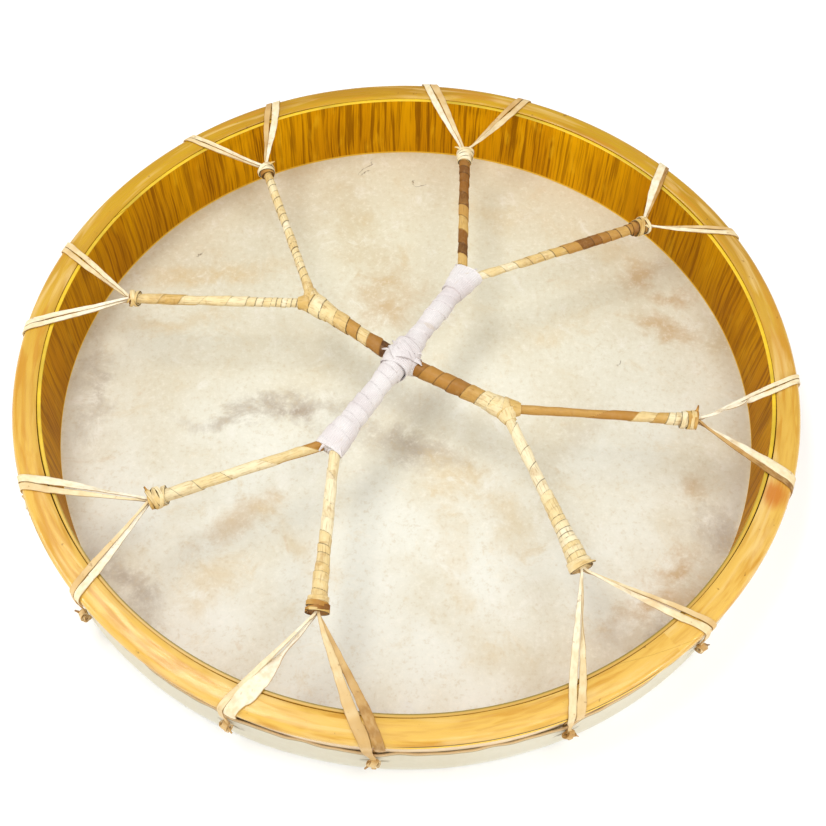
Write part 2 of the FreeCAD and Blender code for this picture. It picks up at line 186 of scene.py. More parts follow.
class Paint:
    """A node material with short calls for the nodes that the finishes share."""

    def __init__(self, name, roughness, specular=0.5):
        self.material = bpy.data.materials.new(name)
        self.material.use_nodes = True
        self.tree = self.material.node_tree
        self.shader = self.tree.nodes["Principled BSDF"]
        self.shader.inputs["Roughness"].default_value = roughness
        self.shader.inputs["Specular IOR Level"].default_value = specular
        self.place = self.node("ShaderNodeTexCoord").outputs["Object"]

    def node(self, kind, links=None, **settings):
        made = self.tree.nodes.new(kind)
        for key, value in settings.items():
            setattr(made, key, value)
        for socket, source in (links or {}).items():
            if hasattr(source, "is_output"):
                self.tree.links.new(source, made.inputs[socket])
            else:
                made.inputs[socket].default_value = source
        return made

    def stretched(self, scale, source=None, turn=(0, 0, 0)):
        """The place, stretched by a factor along each axis."""
        links = {"Vector": source or self.place, "Scale": scale, "Rotation": turn}
        return self.node("ShaderNodeMapping", links).outputs["Vector"]

    def noise(self, scale, detail=3.0, source=None, distortion=0.0, roughness=0.5):
        links = {"Vector": source or self.place, "Scale": scale, "Detail": detail,
                 "Distortion": distortion, "Roughness": roughness}
        return self.node("ShaderNodeTexNoise", links).outputs["Fac"]

    def span(self, value, low, high, to_low=0.0, to_high=1.0):
        """The value's range from low to high, spread smoothly over another range."""
        links = {"Value": value, "From Min": low, "From Max": high,
                 "To Min": to_low, "To Max": to_high}
        return self.node("ShaderNodeMapRange", links, interpolation_type="SMOOTHSTEP").outputs[0]

    def math(self, operation, first, second=0.0):
        return self.node("ShaderNodeMath", {0: first, 1: second}, operation=operation).outputs[0]

    def mix(self, share, first, second, blend="MIX"):
        made = self.node("ShaderNodeMix", data_type="RGBA", blend_type=blend)
        for socket, source in ((0, share), (6, first), (7, second)):
            if hasattr(source, "is_output"):
                self.tree.links.new(source, made.inputs[socket])
            else:
                made.inputs[socket].default_value = source
        return made.outputs[2]

    def wash(self, under, value, reach, strength, shade):
        """A colour laid over another, as strongly as the value's place in its reach says."""
        return self.mix(self.span(value, *reach, *strength), under, tone(*shade))

    def ramp(self, value, stops):
        made = self.node("ShaderNodeValToRGB", {"Fac": value})
        points = made.color_ramp.elements
        while len(points) < len(stops):
            points.new(0.5)
        for point, (position, color) in zip(points, stops):
            point.position = position
            point.color = color
        return made.outputs["Color"]

    def attribute(self, name):
        return self.node("ShaderNodeAttribute", attribute_name=name).outputs["Fac"]

    def strip(self):
        """Place along and across a strip, in metres."""
        return self.node("ShaderNodeUVMap", uv_map="strip").outputs["UV"]

    def axis(self, letter):
        return self.node("ShaderNodeSeparateXYZ", {0: self.place}).outputs[letter]

    def length(self, source):
        return self.node("ShaderNodeVectorMath", {0: source}, operation="LENGTH").outputs["Value"]

    def radius(self, x, y):
        """Distance from the drum's axis."""
        return self.length(self.node("ShaderNodeCombineXYZ", {"X": x, "Y": y}).outputs[0])

    def bearing(self, cut_bearing):
        """Coordinates turned so that their angle jumps at one bearing, and that angle."""
        turned = self.stretched((1, 1, 1), turn=(0, 0, math.radians(180 - cut_bearing)))
        parts = self.node("ShaderNodeSeparateXYZ", {0: turned}).outputs
        return parts, self.math("ARCTAN2", parts["Y"], parts["X"])

    def spot(self, source, x, y, reach_x, reach_y, turn):
        """Distance from the middle of an ellipse, as a share of its reach."""
        return self.length(self.node("ShaderNodeMapping", {
            "Vector": source, "Location": (x, y, 0), "Rotation": (0, 0, math.radians(turn)),
            "Scale": (reach_x, reach_y, 1)}, vector_type="TEXTURE").outputs[0])

    def color(self, source):
        self.tree.links.new(source, self.shader.inputs["Base Color"])

    def roughness(self, source):
        self.tree.links.new(source, self.shader.inputs["Roughness"])

    def bump(self, height, distance, strength=1.0):
        links = {"Height": height, "Distance": distance, "Strength": strength}
        made = self.node("ShaderNodeBump", links)
        self.tree.links.new(made.outputs["Normal"], self.shader.inputs["Normal"])


# ---------------------------------------------------------------- materials

RIM_SCARF = 309
SHELL_SCARF = 150
BURN = polar(217 * MM, 337.5, 51 * MM)

# Radius that turns a bearing into metres for the grain that runs round the drum.
GRAIN_RADIUS = 0.22

# The rim's lap line, drawn darker with painted shadow under the shoulder: its level, then the bearings
# between which it opens, and how dark it is.
LAP_LEVEL = 48.6 * MM
LAPS = [(193, 218, 0.8), (268, 308, 0.9)]


def floor_paint():
    paint = Paint("floor_paint", 0.9, 0.1)
    cloud = paint.noise(3.0)
    paint.color(paint.mix(cloud, tone(250, 250, 250), tone(254, 254, 254)))
    return paint.material


# Stains on the head, from the middle of each: place, reach, turn in degrees, strength, and kind.
STAINS = [
    (-0.070, -0.004, 0.026, 0.010, 8, 1.0, "dark"), (-0.110, -0.012, 0.026, 0.005, 8, 0.6, "dark"),
    (0.002, 0.002, 0.026, 0.020, -20, 0.45, "grey"), (-0.015, 0.076, 0.022, 0.022, -20, 0.8, "brown"),
    (0.006, -0.030, 0.034, 0.010, -18, 0.8, "dark"), (0.030, -0.052, 0.022, 0.014, 10, 0.7, "tan"),
    (-0.042, 0.150, 0.012, 0.034, 10, 0.5, "olive"), (-0.024, 0.112, 0.014, 0.040, 20, 0.5, "olive"),
    (0.059, -0.075, 0.014, 0.030, 15, 0.5, "tan"), (0.150, 0.098, 0.010, 0.016, -30, 0.8, "brown"),
    (0.171, 0.084, 0.014, 0.006, 10, 0.8, "brown"), (0.164, 0.058, 0.020, 0.008, -25, 0.8, "brown"),
    (0.196, 0.050, 0.008, 0.020, 15, 0.6, "olive"), (-0.130, 0.100, 0.046, 0.009, 6, 0.8, "tan"),
    (0.140, -0.128, 0.026, 0.008, 32, 0.9, "brown"), (-0.152, -0.122, 0.030, 0.010, -50, 0.8, "dark"),
    (-0.192, 0.006, 0.008, 0.036, 4, 0.6, "dark"), (0.152, -0.102, 0.018, 0.006, 38, 0.8, "brown"),
    (0.150, -0.142, 0.022, 0.008, 40, 0.8, "dark"), (0.167, -0.050, 0.010, 0.012, 40, 0.7, "brown"),
    (0.184, -0.080, 0.014, 0.016, 50, 0.6, "dark"), (-0.095, -0.082, 0.028, 0.009, 38, 0.6, "brown"),
    (-0.107, -0.125, 0.012, 0.022, -20, 0.6, "tan"), (-0.060, -0.100, 0.010, 0.030, 40, 0.4, "tan"),
    (0.120, 0.130, 0.030, 0.012, -35, 0.4, "tan"), (0.096, 0.058, 0.022, 0.010, 20, 0.4, "tan"),
    (-0.150, 0.060, 0.030, 0.007, 4, 0.6, "tan"), (0.104, -0.020, 0.030, 0.010, 60, 0.35, "grey"),
    (0.030, -0.110, 0.010, 0.040, 12, 0.35, "tan"), (0.060, 0.155, 0.024, 0.010, -10, 0.4, "tan"),
    (0.110, -0.150, 0.020, 0.008, 20, 0.5, "grey"), (-0.020, -0.196, 0.070, 0.006, 0, 0.5, "cool"),
]
STAIN_TONES = {
    "grey": (196, 184, 164), "tan": (208, 184, 136), "olive": (196, 178, 138), "brown": (190, 158, 112),
    "dark": (164, 150, 134), "cool": (206, 208, 216)}

# Short dark hairs left in the hide: the middle of each, its reach, and its turn in degrees.
HAIRS = [(-0.034, 0.193, 0.0045, 0.0006, 55), (0.003, 0.174, 0.0040, 0.0006, -50),
         (-0.030, 0.187, 0.0030, 0.0005, 10), (0.009, 0.171, 0.0035, 0.0007, 15),
         (0.133, 0.036, 0.0022, 0.0008, 30), (-0.140, 0.118, 0.0026, 0.0005, 40)]


def head_hide_paint():
    """Dry rawhide: cream with stains, faint vein-like streaks, light fibres and dark specks, painted shade
    towards the far side, and a dark band under the skirt's cut edge that is partly painted shadow.
    """
    paint = Paint("head_hide", 0.6, 0.12)
    # Painted shade: the hide is drawn darker and yellower towards the far side.
    far_shade = paint.span(paint.axis("Y"), -0.15, 0.2)
    base = paint.mix(far_shade, tone(228, 228, 217), tone(215, 209, 183))
    base = paint.wash(base, paint.noise(16, 5), (0.35, 0.7), (0, 0.7), (210, 201, 175))
    drift = paint.node("ShaderNodeTexNoise", {"Scale": 22.0, "Detail": 6.0, "Roughness": 0.65,
                                              "Vector": paint.place}).outputs["Color"]
    shift = paint.node("ShaderNodeVectorMath", {0: drift, 1: (0.5, 0.5, 0.5)}, operation="SUBTRACT")
    shift = paint.node("ShaderNodeVectorMath", {0: shift.outputs[0], "Scale": 0.055}, operation="SCALE")
    moved = paint.node("ShaderNodeVectorMath", {0: paint.place, 1: shift.outputs[0]},
                       operation="ADD").outputs[0]
    grain = paint.noise(360, 4, roughness=0.65)
    clouds = paint.noise(48, 6, distortion=0.5, roughness=0.75)
    ragged = paint.math("MULTIPLY", paint.math("SUBTRACT", clouds, 0.35), 3.0)
    for x, y, reach_x, reach_y, turn, strength, kind in STAINS:
        torn = paint.math("ADD", paint.spot(moved, x, y, reach_x, reach_y, turn), ragged)
        base = paint.wash(base, torn, (0.0, 2.1), (strength, 0.0), STAIN_TONES[kind])
    vein_source = paint.stretched((1.0, 1.7, 1), turn=(0, 0, 0.7))
    vein = paint.span(paint.noise(18, 7, vein_source, 2.2, 0.65), 0.63, 0.72, 0.0, 0.28)
    base = paint.mix(vein, base, tone(198, 168, 124))
    base = paint.wash(base, grain, (0.50, 0.72), (0.0, 0.3), (242, 238, 224))
    base = paint.wash(base, grain, (0.28, 0.48), (0.35, 0.0), (196, 178, 142))
    base = paint.wash(base, clouds, (0.54, 0.70), (0.0, 0.4), (236, 234, 225))
    base = paint.wash(base, clouds, (0.30, 0.46), (0.3, 0.0), (208, 188, 146))
    for hair in HAIRS:
        base = paint.wash(base, paint.spot(moved, *hair), (0.3, 1.5), (0.65, 0.0), (96, 72, 44))
    wall = paint.span(paint.axis("Z"), 2 * MM, 8 * MM, 0.0, 0.75)
    base = paint.mix(wall, base, paint.mix(clouds, tone(206, 200, 180), tone(196, 186, 160)))
    # Dark olive band just under the skirt's cut edge: the hide's darker edge together with painted shadow of
    # the gap between skirt and hoop. The cut edge itself gets its own lighter tone.
    seam = paint.attribute("seam")
    base = paint.wash(base, seam, (0.1, 0.5), (0, 0.8), (128, 106, 40))
    paint.color(paint.mix(paint.span(seam, 0.75, 0.95), base, tone(222, 198, 158)))
    paint.bump(paint.noise(120, 5, roughness=0.6), 0.0004, 0.3)
    return paint.material


def veneer_paint():
    """Varnished veneer with fine uneven dark grain up the wall, a line of glue at its foot, and painted
    shade towards the left and right sides.
    """
    paint = Paint("veneer", 0.5, 0.03)
    warp = paint.math("MULTIPLY", paint.noise(11, 2), 0.008)
    shift = paint.node("ShaderNodeCombineXYZ", {"X": warp}).outputs[0]
    along_wall = around(paint, SHELL_SCARF, 0.0, 0.03)
    along_wall = paint.node("ShaderNodeVectorMath", {0: along_wall, 1: shift},
                            operation="ADD").outputs[0]
    lines = paint.noise(400, 3, along_wall, 0.0, 0.6)
    broad = paint.noise(30, 3, along_wall, 0.3)
    fine = paint.noise(760, 2, along_wall)
    color = paint.mix(paint.span(broad, 0.35, 0.65), tone(222, 158, 0), tone(202, 136, 0))
    depth = paint.span(broad, 0.35, 0.6, 0.55, 0.9)
    share = paint.math("MULTIPLY", paint.span(lines, 0.48, 0.62), depth)
    color = paint.mix(share, color, tone(134, 82, 0))
    color = paint.wash(color, fine, (0.45, 0.7), (0, 0.45), (136, 84, 0))
    pale = paint.noise(120, 3, paint.stretched((1, 1, 0.3)))
    color = paint.wash(color, pale, (0.58, 0.75), (0, 0.4), (238, 184, 30))
    # Painted shade: the wall is drawn darker towards the left and right sides of the drum.
    side = paint.math("ABSOLUTE", paint.axis("X"))
    color = paint.wash(color, side, (0.10, 0.20), (0.0, 0.45), (134, 82, 0))
    glue = paint.span(paint.axis("Z"), HIDE + 1.0 * MM, HIDE + 2.0 * MM, 0.9, 0.0)
    paint.color(paint.mix(glue, color, tone(240, 196, 70)))
    paint.bump(lines, 0.0002, 0.5)
    return paint.material


def shell_edge_paint():
    """Bare varnished edge of the thin ply, bright yellow, with painted shade on the near side and along its
    inner lip there.
    """
    paint = Paint("shell_edge", 0.35)
    streak = paint.noise(260, 3, paint.stretched((1, 1, 0.3)))
    worn = paint.span(paint.noise(30, 3), 0.42, 0.62)
    color = paint.mix(streak, tone(240, 204, 40), tone(214, 172, 16))
    color = paint.mix(worn, color, tone(196, 164, 34))
    # Painted shade: the edge is drawn duller and darker on the near side.
    near = paint.span(paint.axis("Y"), -0.04, -0.15)
    color = paint.mix(near, color, tone(196, 154, 62))
    radius = paint.radius(paint.axis("X"), paint.axis("Y"))
    # Painted shade: darkest along the inner lip on the near side.
    lip = paint.span(radius, SHELL_INNER + 0.5 * MM, SHELL_INNER + 1.1 * MM, 0.8, 0.0)
    paint.color(paint.mix(paint.math("MULTIPLY", lip, near), color, tone(122, 108, 36)))
    paint.bump(streak, 0.0002, 0.4)
    return paint.material


def raw_hoop_paint():
    """Unvarnished hoop: pinkish beige with a woolly cut grain."""
    paint = Paint("raw_hoop", 0.85, 0.1)
    grain = paint.noise(160, 5, paint.stretched((1, 1, 2)))
    color = paint.mix(grain, tone(236, 216, 182), tone(210, 186, 148))
    color = paint.wash(color, paint.noise(45, 4), (0.45, 0.7), (0, 0.7), (222, 198, 174))
    paint.color(color)
    paint.bump(grain, 0.0004, 0.6)
    return paint.material


def around(paint, cut_bearing, radial, level):
    """Coordinates that run round the drum, with their start hidden at one bearing."""
    parts, angle = paint.bearing(cut_bearing)
    links = {"X": paint.math("MULTIPLY", angle, GRAIN_RADIUS),
             "Y": paint.math("MULTIPLY", paint.radius(parts["X"], parts["Y"]), radial),
             "Z": paint.math("MULTIPLY", parts["Z"], level)}
    return paint.node("ShaderNodeCombineXYZ", links).outputs[0]


def rim_paint():
    """Honey varnish over a bent lath whose grain follows the hoop, with a lap line on its edge that also
    carries painted shadow, painted light on its near half, and pale streaks that are partly painted
    highlight.
    """
    paint = Paint("rim_wood", 0.3, 0.4)
    grain_place = around(paint, RIM_SCARF, 9.0, 5.0)
    broad = paint.noise(9, 4, grain_place, 0.4)
    fine = paint.noise(60, 3, grain_place, 0.2)
    color = paint.mix(paint.span(broad, 0.35, 0.68), tone(192, 148, 14), tone(170, 122, 4))
    # Painted light: the near half of the rim is drawn paler than the far half.
    near = paint.span(paint.axis("Y"), 0.16, -0.16)
    color = paint.mix(near, color, paint.mix(fine, tone(226, 186, 92), tone(206, 158, 58)))
    color = paint.wash(color, fine, (0.45, 0.7), (0, 0.25), (178, 122, 22))
    color = paint.wash(color, paint.noise(22, 4, grain_place, 0.6), (0.50, 0.68), (0, 0.7), (190, 130, 24))
    # Pale cream streaks along the grain: pale scuffs in the varnish together with painted highlight.
    color = paint.wash(color, paint.noise(17, 4, grain_place, 0.5), (0.52, 0.70), (0, 0.6), (226, 194, 124))
    color = paint.wash(color, paint.noise(240, 2), (0.70, 0.76), (0, 0.6), (120, 78, 22))
    burn = paint.node("ShaderNodeVectorMath", {0: paint.place, 1: BURN}, operation="DISTANCE")
    ragged = paint.math("ADD", burn.outputs["Value"], paint.math("MULTIPLY", fine, 0.012))
    ragged = paint.math("SUBTRACT", ragged, 0.004)
    color = paint.wash(color, ragged, (0.004, 0.014), (0.8, 0.0), (186, 100, 12))
    level = paint.axis("Z")
    under = paint.span(level, LAP_LEVEL + 0.2 * MM, LAP_LEVEL - 0.2 * MM)
    line = paint.span(paint.math("ABSOLUTE", paint.math("SUBTRACT", level, LAP_LEVEL)),
                      0.12 * MM, 0.4 * MM, 1.0, 0.0)
    _, angle = paint.bearing(RIM_SCARF)
    for first, last, strength in LAPS:
        low, high = (math.radians(edge + 180 - RIM_SCARF) for edge in (first, last))
        inside = paint.math("MULTIPLY", paint.span(angle, low, low + 0.08),
                            paint.span(angle, high, high - 0.08))
        color = paint.mix(paint.math("MULTIPLY", paint.math("MULTIPLY", under, inside), 0.8),
                          color, tone(236, 190, 0))
        # The lap line's dark colour is partly painted shadow under the rim's shoulder.
        share = paint.math("MULTIPLY", paint.math("MULTIPLY", line, inside), strength)
        color = paint.mix(share, color, tone(70, 46, 10))
    paint.color(color)
    paint.roughness(paint.span(fine, 0.3, 0.7, 0.2, 0.34))
    paint.bump(fine, 0.00025, 0.5)
    return paint.material


def thong_paint():
    """Rawhide strip: cream to tan along its length, darker cut edges and fine fibres."""
    paint = Paint("thong_hide", 0.5, 0.25)
    place = paint.stretched((1, 5, 1), paint.strip())
    streak = paint.noise(260, 3, place)
    cloud = paint.noise(70, 4)
    color = paint.ramp(paint.attribute("tone"), [
        (0.0, tone(240, 235, 214)), (0.35, tone(228, 210, 166)), (0.6, tone(208, 172, 112)),
        (0.8, tone(172, 128, 66)), (1.0, tone(104, 68, 30))])
    color = paint.wash(color, streak, (0.4, 0.7), (0, 0.4), (204, 172, 118))
    color = paint.wash(color, cloud, (0.55, 0.75), (0, 0.4), (196, 156, 98))
    color = paint.wash(color, paint.noise(300, 3), (0.66, 0.74), (0, 0.5), (140, 96, 48))
    color = paint.wash(color, paint.attribute("seam"), (0.3, 1.0), (0, 0.75), (150, 106, 52))
    paint.color(color)
    paint.bump(streak, 0.0003, 0.6)
    return paint.material


def wrap_paint():
    """Rawhide binding: each turn its own tone, with dark gaps between the turns."""
    paint = Paint("wrap_hide", 0.48, 0.25)
    color = paint.ramp(paint.attribute("tone"), [
        (0.0, tone(236, 226, 194)), (0.25, tone(224, 202, 148)), (0.45, tone(206, 170, 98)),
        (0.65, tone(178, 128, 54)), (0.82, tone(136, 86, 26)), (1.0, tone(70, 40, 14))])
    cloud = paint.noise(130, 5, distortion=0.8, roughness=0.6)
    color = paint.wash(color, cloud, (0.52, 0.72), (0, 0.5), (164, 118, 54))
    fibre = paint.noise(420, 3, paint.stretched((1, 1, 0.5)))
    pale = paint.span(paint.attribute("tone"), 0.3, 0.6, 0.25, 0.04)
    pale = paint.math("MULTIPLY", paint.span(fibre, 0.42, 0.8), pale)
    color = paint.mix(pale, color, tone(242, 230, 198))
    stripe = paint.noise(150, 3, paint.stretched((1, 6, 1), paint.strip()))
    color = paint.wash(color, stripe, (0.5, 0.7), (0, 0.45), (150, 108, 52))
    color = paint.wash(color, paint.attribute("seam"), (0.2, 0.95), (0, 0.92), (58, 40, 18))
    paint.color(color)
    paint.bump(fibre, 0.0003, 0.6)
    return paint.material


def tape_paint():
    """Pinkish white cotton tape with a plain weave."""
    paint = Paint("cotton_tape", 0.85, 0.15)
    paint.shader.inputs["Sheen Weight"].default_value = 0.2
    strip = paint.strip()
    warp = paint.node("ShaderNodeTexWave", {"Vector": strip, "Scale": 380.0}, bands_direction="X")
    weft = paint.node("ShaderNodeTexWave", {"Vector": strip, "Scale": 380.0}, bands_direction="Y")
    weave = paint.math("ADD", warp.outputs["Fac"], weft.outputs["Fac"])
    cloud = paint.noise(60, 4)
    color = paint.mix(paint.span(cloud, 0.4, 0.7), tone(232, 227, 223), tone(220, 211, 208))
    color = paint.wash(color, weave, (0.4, 1.6), (0.25, 0.0), (200, 188, 192))
    color = paint.wash(color, paint.noise(110, 3, distortion=1.0), (0.62, 0.74), (0, 0.4), (206, 186, 160))
    color = paint.wash(color, paint.attribute("seam"), (0.3, 1.0), (0, 0.5), (166, 148, 146))
    paint.color(color)
    paint.bump(weave, 0.0002, 0.8)
    return paint.material


# ---------------------------------------------------------------- mesh helpers

class Skin:
    """Collects grids of points into one mesh, with strip coordinates, a tone and a seam mark."""

    def __init__(self):
        self.points, self.faces, self.corners = [], [], []
        self.tones, self.seams, self.surfaces = [], [], []

    def grid(self, rows, along, across, tones=0.0, seams=0.0, capped=True):
        """rows is an array of rows by columns by 3, and the last column is joined to the first."""
        rows = np.asarray(rows, float)
        count, width = rows.shape[:2]
        first = len(self.points)
        self.points += [tuple(p) for p in rows.reshape(-1, 3)]
        self.tones += list(np.broadcast_to(tones, (count, width)).reshape(-1))
        self.seams += list(np.broadcast_to(seams, (count, width)).reshape(-1))
        for i in range(count - 1):
            for j in range(width):
                k = (j + 1) % width
                self.faces.append((first + i * width + j, first + i * width + k,
                                   first + (i + 1) * width + k, first + (i + 1) * width + j))
                low, high = across[j], across[j + 1]
                self.corners += [(along[i], low), (along[i], high),
                                 (along[i + 1], high), (along[i + 1], low)]
                self.surfaces.append(0)
        if capped:
            for row in (0, count - 1):
                ring = [first + row * width + j for j in range(width)]
                self.faces.append(tuple(ring))
                self.corners += [(along[row], across[j]) for j in range(width)]
                self.surfaces.append(0)

    def piece(self, name, materials, slot, *replaced):
        mesh = bpy.data.meshes.new(name)
        mesh.from_pydata(self.points, [], self.faces)
        layer = mesh.uv_layers.new(name="strip")
        layer.data.foreach_set("uv", np.array(self.corners, float).reshape(-1))
        for label, values in (("tone", self.tones), ("seam", self.seams)):
            mesh.attributes.new(label, "FLOAT", "POINT").data.foreach_set("value", values)
        mesh.polygons.foreach_set("material_index", self.surfaces)
        work = bmesh.new()
        work.from_mesh(mesh)
        bmesh.ops.remove_doubles(work, verts=work.verts, dist=1e-7)
        bmesh.ops.recalc_face_normals(work, faces=work.faces)
        work.to_mesh(mesh)
        work.free()
        mesh.shade_smooth()
        mesh.set_sharp_from_angle(angle=math.radians(50))
        item = bpy.data.objects.new(name, mesh)
        bpy.context.scene.collection.objects.link(item)
        for material in materials:
            mesh.materials.append(material)
        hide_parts(*replaced)
        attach(item, "root")
        return item


def smooth_rows(values, rows):
    """Catmull-Rom curve through the values, as the given number of evenly spread rows."""
    values = np.asarray(values, float)
    steps = np.linalg.norm(np.diff(values[:, :3], axis=0), axis=1)
    knots = np.concatenate([[0], np.cumsum(np.maximum(steps, 1e-6))])
    spots = np.linspace(0, knots[-1], rows)
    slopes = np.gradient(values, knots, axis=0)
    index = np.clip(np.searchsorted(knots, spots, side="right") - 1, 0, len(knots) - 2)
    width = (knots[index + 1] - knots[index])[:, None]
    share = (spots - knots[index])[:, None] / width
    a, b = values[index], values[index + 1]
    slope_a, slope_b = slopes[index] * width, slopes[index + 1] * width
    s2, s3 = share ** 2, share ** 3
    curve = (2 * s3 - 3 * s2 + 1) * a + (s3 - 2 * s2 + share) * slope_a
    return curve + (3 * s2 - 2 * s3) * b + (s3 - s2) * slope_b, spots


def unit(vectors):
    return vectors / np.maximum(np.linalg.norm(vectors, axis=-1, keepdims=True), 1e-12)


def wander(spots, scale, seed, octaves=3):
    """Smooth repeatable wobble between about -1 and 1 along a length."""
    source = random.Random(seed)
    total = np.zeros(len(spots))
    for octave in range(octaves):
        turn = source.uniform(0, 2 * math.pi)
        rate = 2 * math.pi / scale * (1.7 ** octave) * source.uniform(0.8, 1.2)
        total += np.sin(spots * rate + turn) / (1.4 ** octave)
    return total / 1.8


# Corners of a strip's section, as (across, through) shares of half its width and thickness.
STRIP_SECTION = [(-1, -0.3), (-0.86, -1), (-0.45, -1), (0, -1), (0.45, -1), (0.86, -1), (1, -0.3),
                 (1, 0.3), (0.86, 1), (0.45, 1), (0, 1), (-0.45, 1), (-0.86, 1), (-1, 0.3)]


def add_strip(skin, stations, tones, seed, cup=0.15, spacing=1.4 * MM):
    """A flat strip along stations of (centre, across, width, thickness), cupped and uneven."""
    packed = [(*c, *Vector(a).normalized(), w, t) for c, a, w, t in stations]
    length = sum((Vector(q[:3]) - Vector(p[:3])).length for p, q in zip(packed, packed[1:]))
    curve, spots = smooth_rows(packed, max(12, int(length / spacing)))
    centre, across = curve[:, :3], curve[:, 3:6]
    width, thickness = curve[:, 6], curve[:, 7]
    ahead = unit(np.gradient(centre, axis=0))
    across = unit(across - ahead * np.sum(across * ahead, axis=1, keepdims=True))
    normal = np.cross(across, ahead)
    width = width * (1 + 0.07 * wander(spots, 0.03, seed)) / 2
    thickness = thickness * (1 + 0.1 * wander(spots, 0.02, seed + 1)) / 2
    shape = np.array(STRIP_SECTION)
    side = shape[:, 0]
    bow = cup * wander(spots, 0.05, seed + 2, 2)
    rise = shape[:, 1][None, :] * thickness[:, None]
    rise = rise + (side[None, :] ** 2 - 0.4) * (bow * width)[:, None]
    nibble = 1 + 0.05 * wander(spots, 0.011, seed + 3)[:, None] * np.sign(side)[None, :]
    rows = centre[:, None, :] + across[:, None, :] * (side[None, :] * width[:, None] * nibble)[..., None]
    rows = rows + normal[:, None, :] * rise[..., None]
    share = spots / spots[-1]
    tint = np.interp(share, np.linspace(0, 1, len(tones)), tones)
    tint = np.clip(tint + 0.06 * wander(spots, 0.02, seed + 4), 0, 1)
    edges = (np.abs(side) > 0.95).astype(float)
    around_section = np.linspace(0, 2.2 * float(width.mean()) * 2, len(side) + 1)
    skin.grid(rows, spots, around_section, tint[:, None], edges[None, :])


# ---------------------------------------------------------------- hoops

HOOP_STEPS = 720
HOOP_SCARF = 60

# Angle of the lap groove on the rim's round shoulder, in degrees above the level.
LAP_GROOVE = -5

def turned_hoop(name, section, scarf, slope, gap, materials, slot, surfaces=(), wobble=0.0):
    """A hoop swept from one face of its scarf joint round to the other."""
    section = np.array(section)
    radius, level = section[:, 0], section[:, 1]
    share = np.linspace(0, 1, HOOP_STEPS + 1)
    shear = (radius - radius.mean()) / (radius.mean() * math.tan(math.radians(slope)))
    span = 2 * math.pi - gap / (radius * math.sin(math.radians(slope)))
    angle = math.radians(scarf) + shear[None, :] + share[:, None] * span[None, :]
    sway = sum(math.sin(k) * np.sin(k * angle + 1.3 * k) for k in (3, 5, 8)) * wobble
    reach = radius[None, :] + sway
    rows = np.stack([reach * np.cos(angle), reach * np.sin(angle),
                     np.broadcast_to(level, reach.shape)], axis=-1)
    outline = np.concatenate([[0], np.cumsum(np.hypot(np.diff(radius), np.diff(level))), [0]])
    outline[-1] = outline[-2] + math.hypot(radius[0] - radius[-1], level[0] - level[-1])
    skin = Skin()
    skin.grid(rows, share * 2 * math.pi * radius.mean(), outline)
    if surfaces:
        skin.surfaces[:HOOP_STEPS * len(radius)] = list(surfaces) * HOOP_STEPS
    return skin.piece(name, materials, slot, name)


def rounded(corners, edge=0.5 * MM, steps=3):
    """An outline with each corner turned by a small arc; corners are (radius, level) pairs."""
    result = []
    count = len(corners)
    for index, here in enumerate(corners):
        here = Vector(here)
        before = (Vector(corners[index - 1]) - here).normalized()
        after = (Vector(corners[(index + 1) % count]) - here).normalized()
        for step in range(steps + 1):
            share = step / steps
            start, end = here + before * edge, here + after * edge
            result.append(tuple((start.lerp(here, share)).lerp(here.lerp(end, share), share)))
    return result


def make_shell():
    section = rounded([(SHELL_INNER, HIDE), (SHELL_OUTER, HIDE), (SHELL_OUTER, SHELL_TOP),
                       (SHELL_INNER, SHELL_TOP)], 0.4 * MM)
    top = [level > SHELL_TOP - 0.5 * MM for _, level in section]
    surfaces = [int(here and after) for here, after in zip(top, top[1:] + top[:1])]
    turned_hoop("inner_shell", section, SHELL_SCARF, 12, 0.3 * MM,
                [veneer_paint(), shell_edge_paint()], "veneered_shell", surfaces)


def make_outer_hoop():
    face = HOOP_OUTER + 0.6 * MM
    section = rounded([(SHELL_OUTER, HIDE), (HOOP_OUTER, HIDE), (face, SLIT_LEVEL), (face, HOOP_TOP),
                       (SHELL_OUTER, HOOP_TOP)], 1.0 * MM)
    turned_hoop("outer_hoop", section, HOOP_SCARF, 15, 0.05 * MM, [raw_hoop_paint()], "raw_hoop")


def make_rim():
    """Crowned top, round shoulder with a lap groove, and an outer wall leaning in to the foot."""
    inner_edge = SHELL_OUTER + 0.15 * MM
    section = [(inner_edge, HOOP_TOP), (RIM_FOOT - 0.6 * MM, HOOP_TOP), (RIM_FOOT, HOOP_TOP + 0.6 * MM)]
    for angle in (-22, -12, -7, LAP_GROOVE, -3, 8, 20, 34, 48, 62, 76, 89):
        turn = math.radians(angle)
        reach = SHOULDER_ROUND - (0.35 * MM if angle == LAP_GROOVE else 0)
        section.append((SHOULDER_RADIUS + reach * math.cos(turn),
                        SHOULDER_LEVEL + reach * math.sin(turn)))
    for share in (0.25, 0.5, 0.75):
        radius = SHOULDER_RADIUS + share * (inner_edge + 1 * MM - SHOULDER_RADIUS)
        crown = 0.35 * MM * math.sin(math.pi * share)
        section.append((radius, min(SHOULDER_LEVEL + SHOULDER_ROUND + crown, RIM_TOP)))
    section += [(inner_edge + 0.9 * MM, RIM_TOP - 0.25 * MM), (inner_edge + 0.2 * MM, RIM_TOP - 0.8 * MM)]
    turned_hoop("rim_hoop", section, RIM_SCARF, 17, 0.08 * MM, [rim_paint()], "rim_wood",
                wobble=0.15 * MM)


# ---------------------------------------------------------------- drum head

def slit_bearings():
    return [bearing for _, _, _, thongs in SPOKES.values() for bearing in thongs.values()]


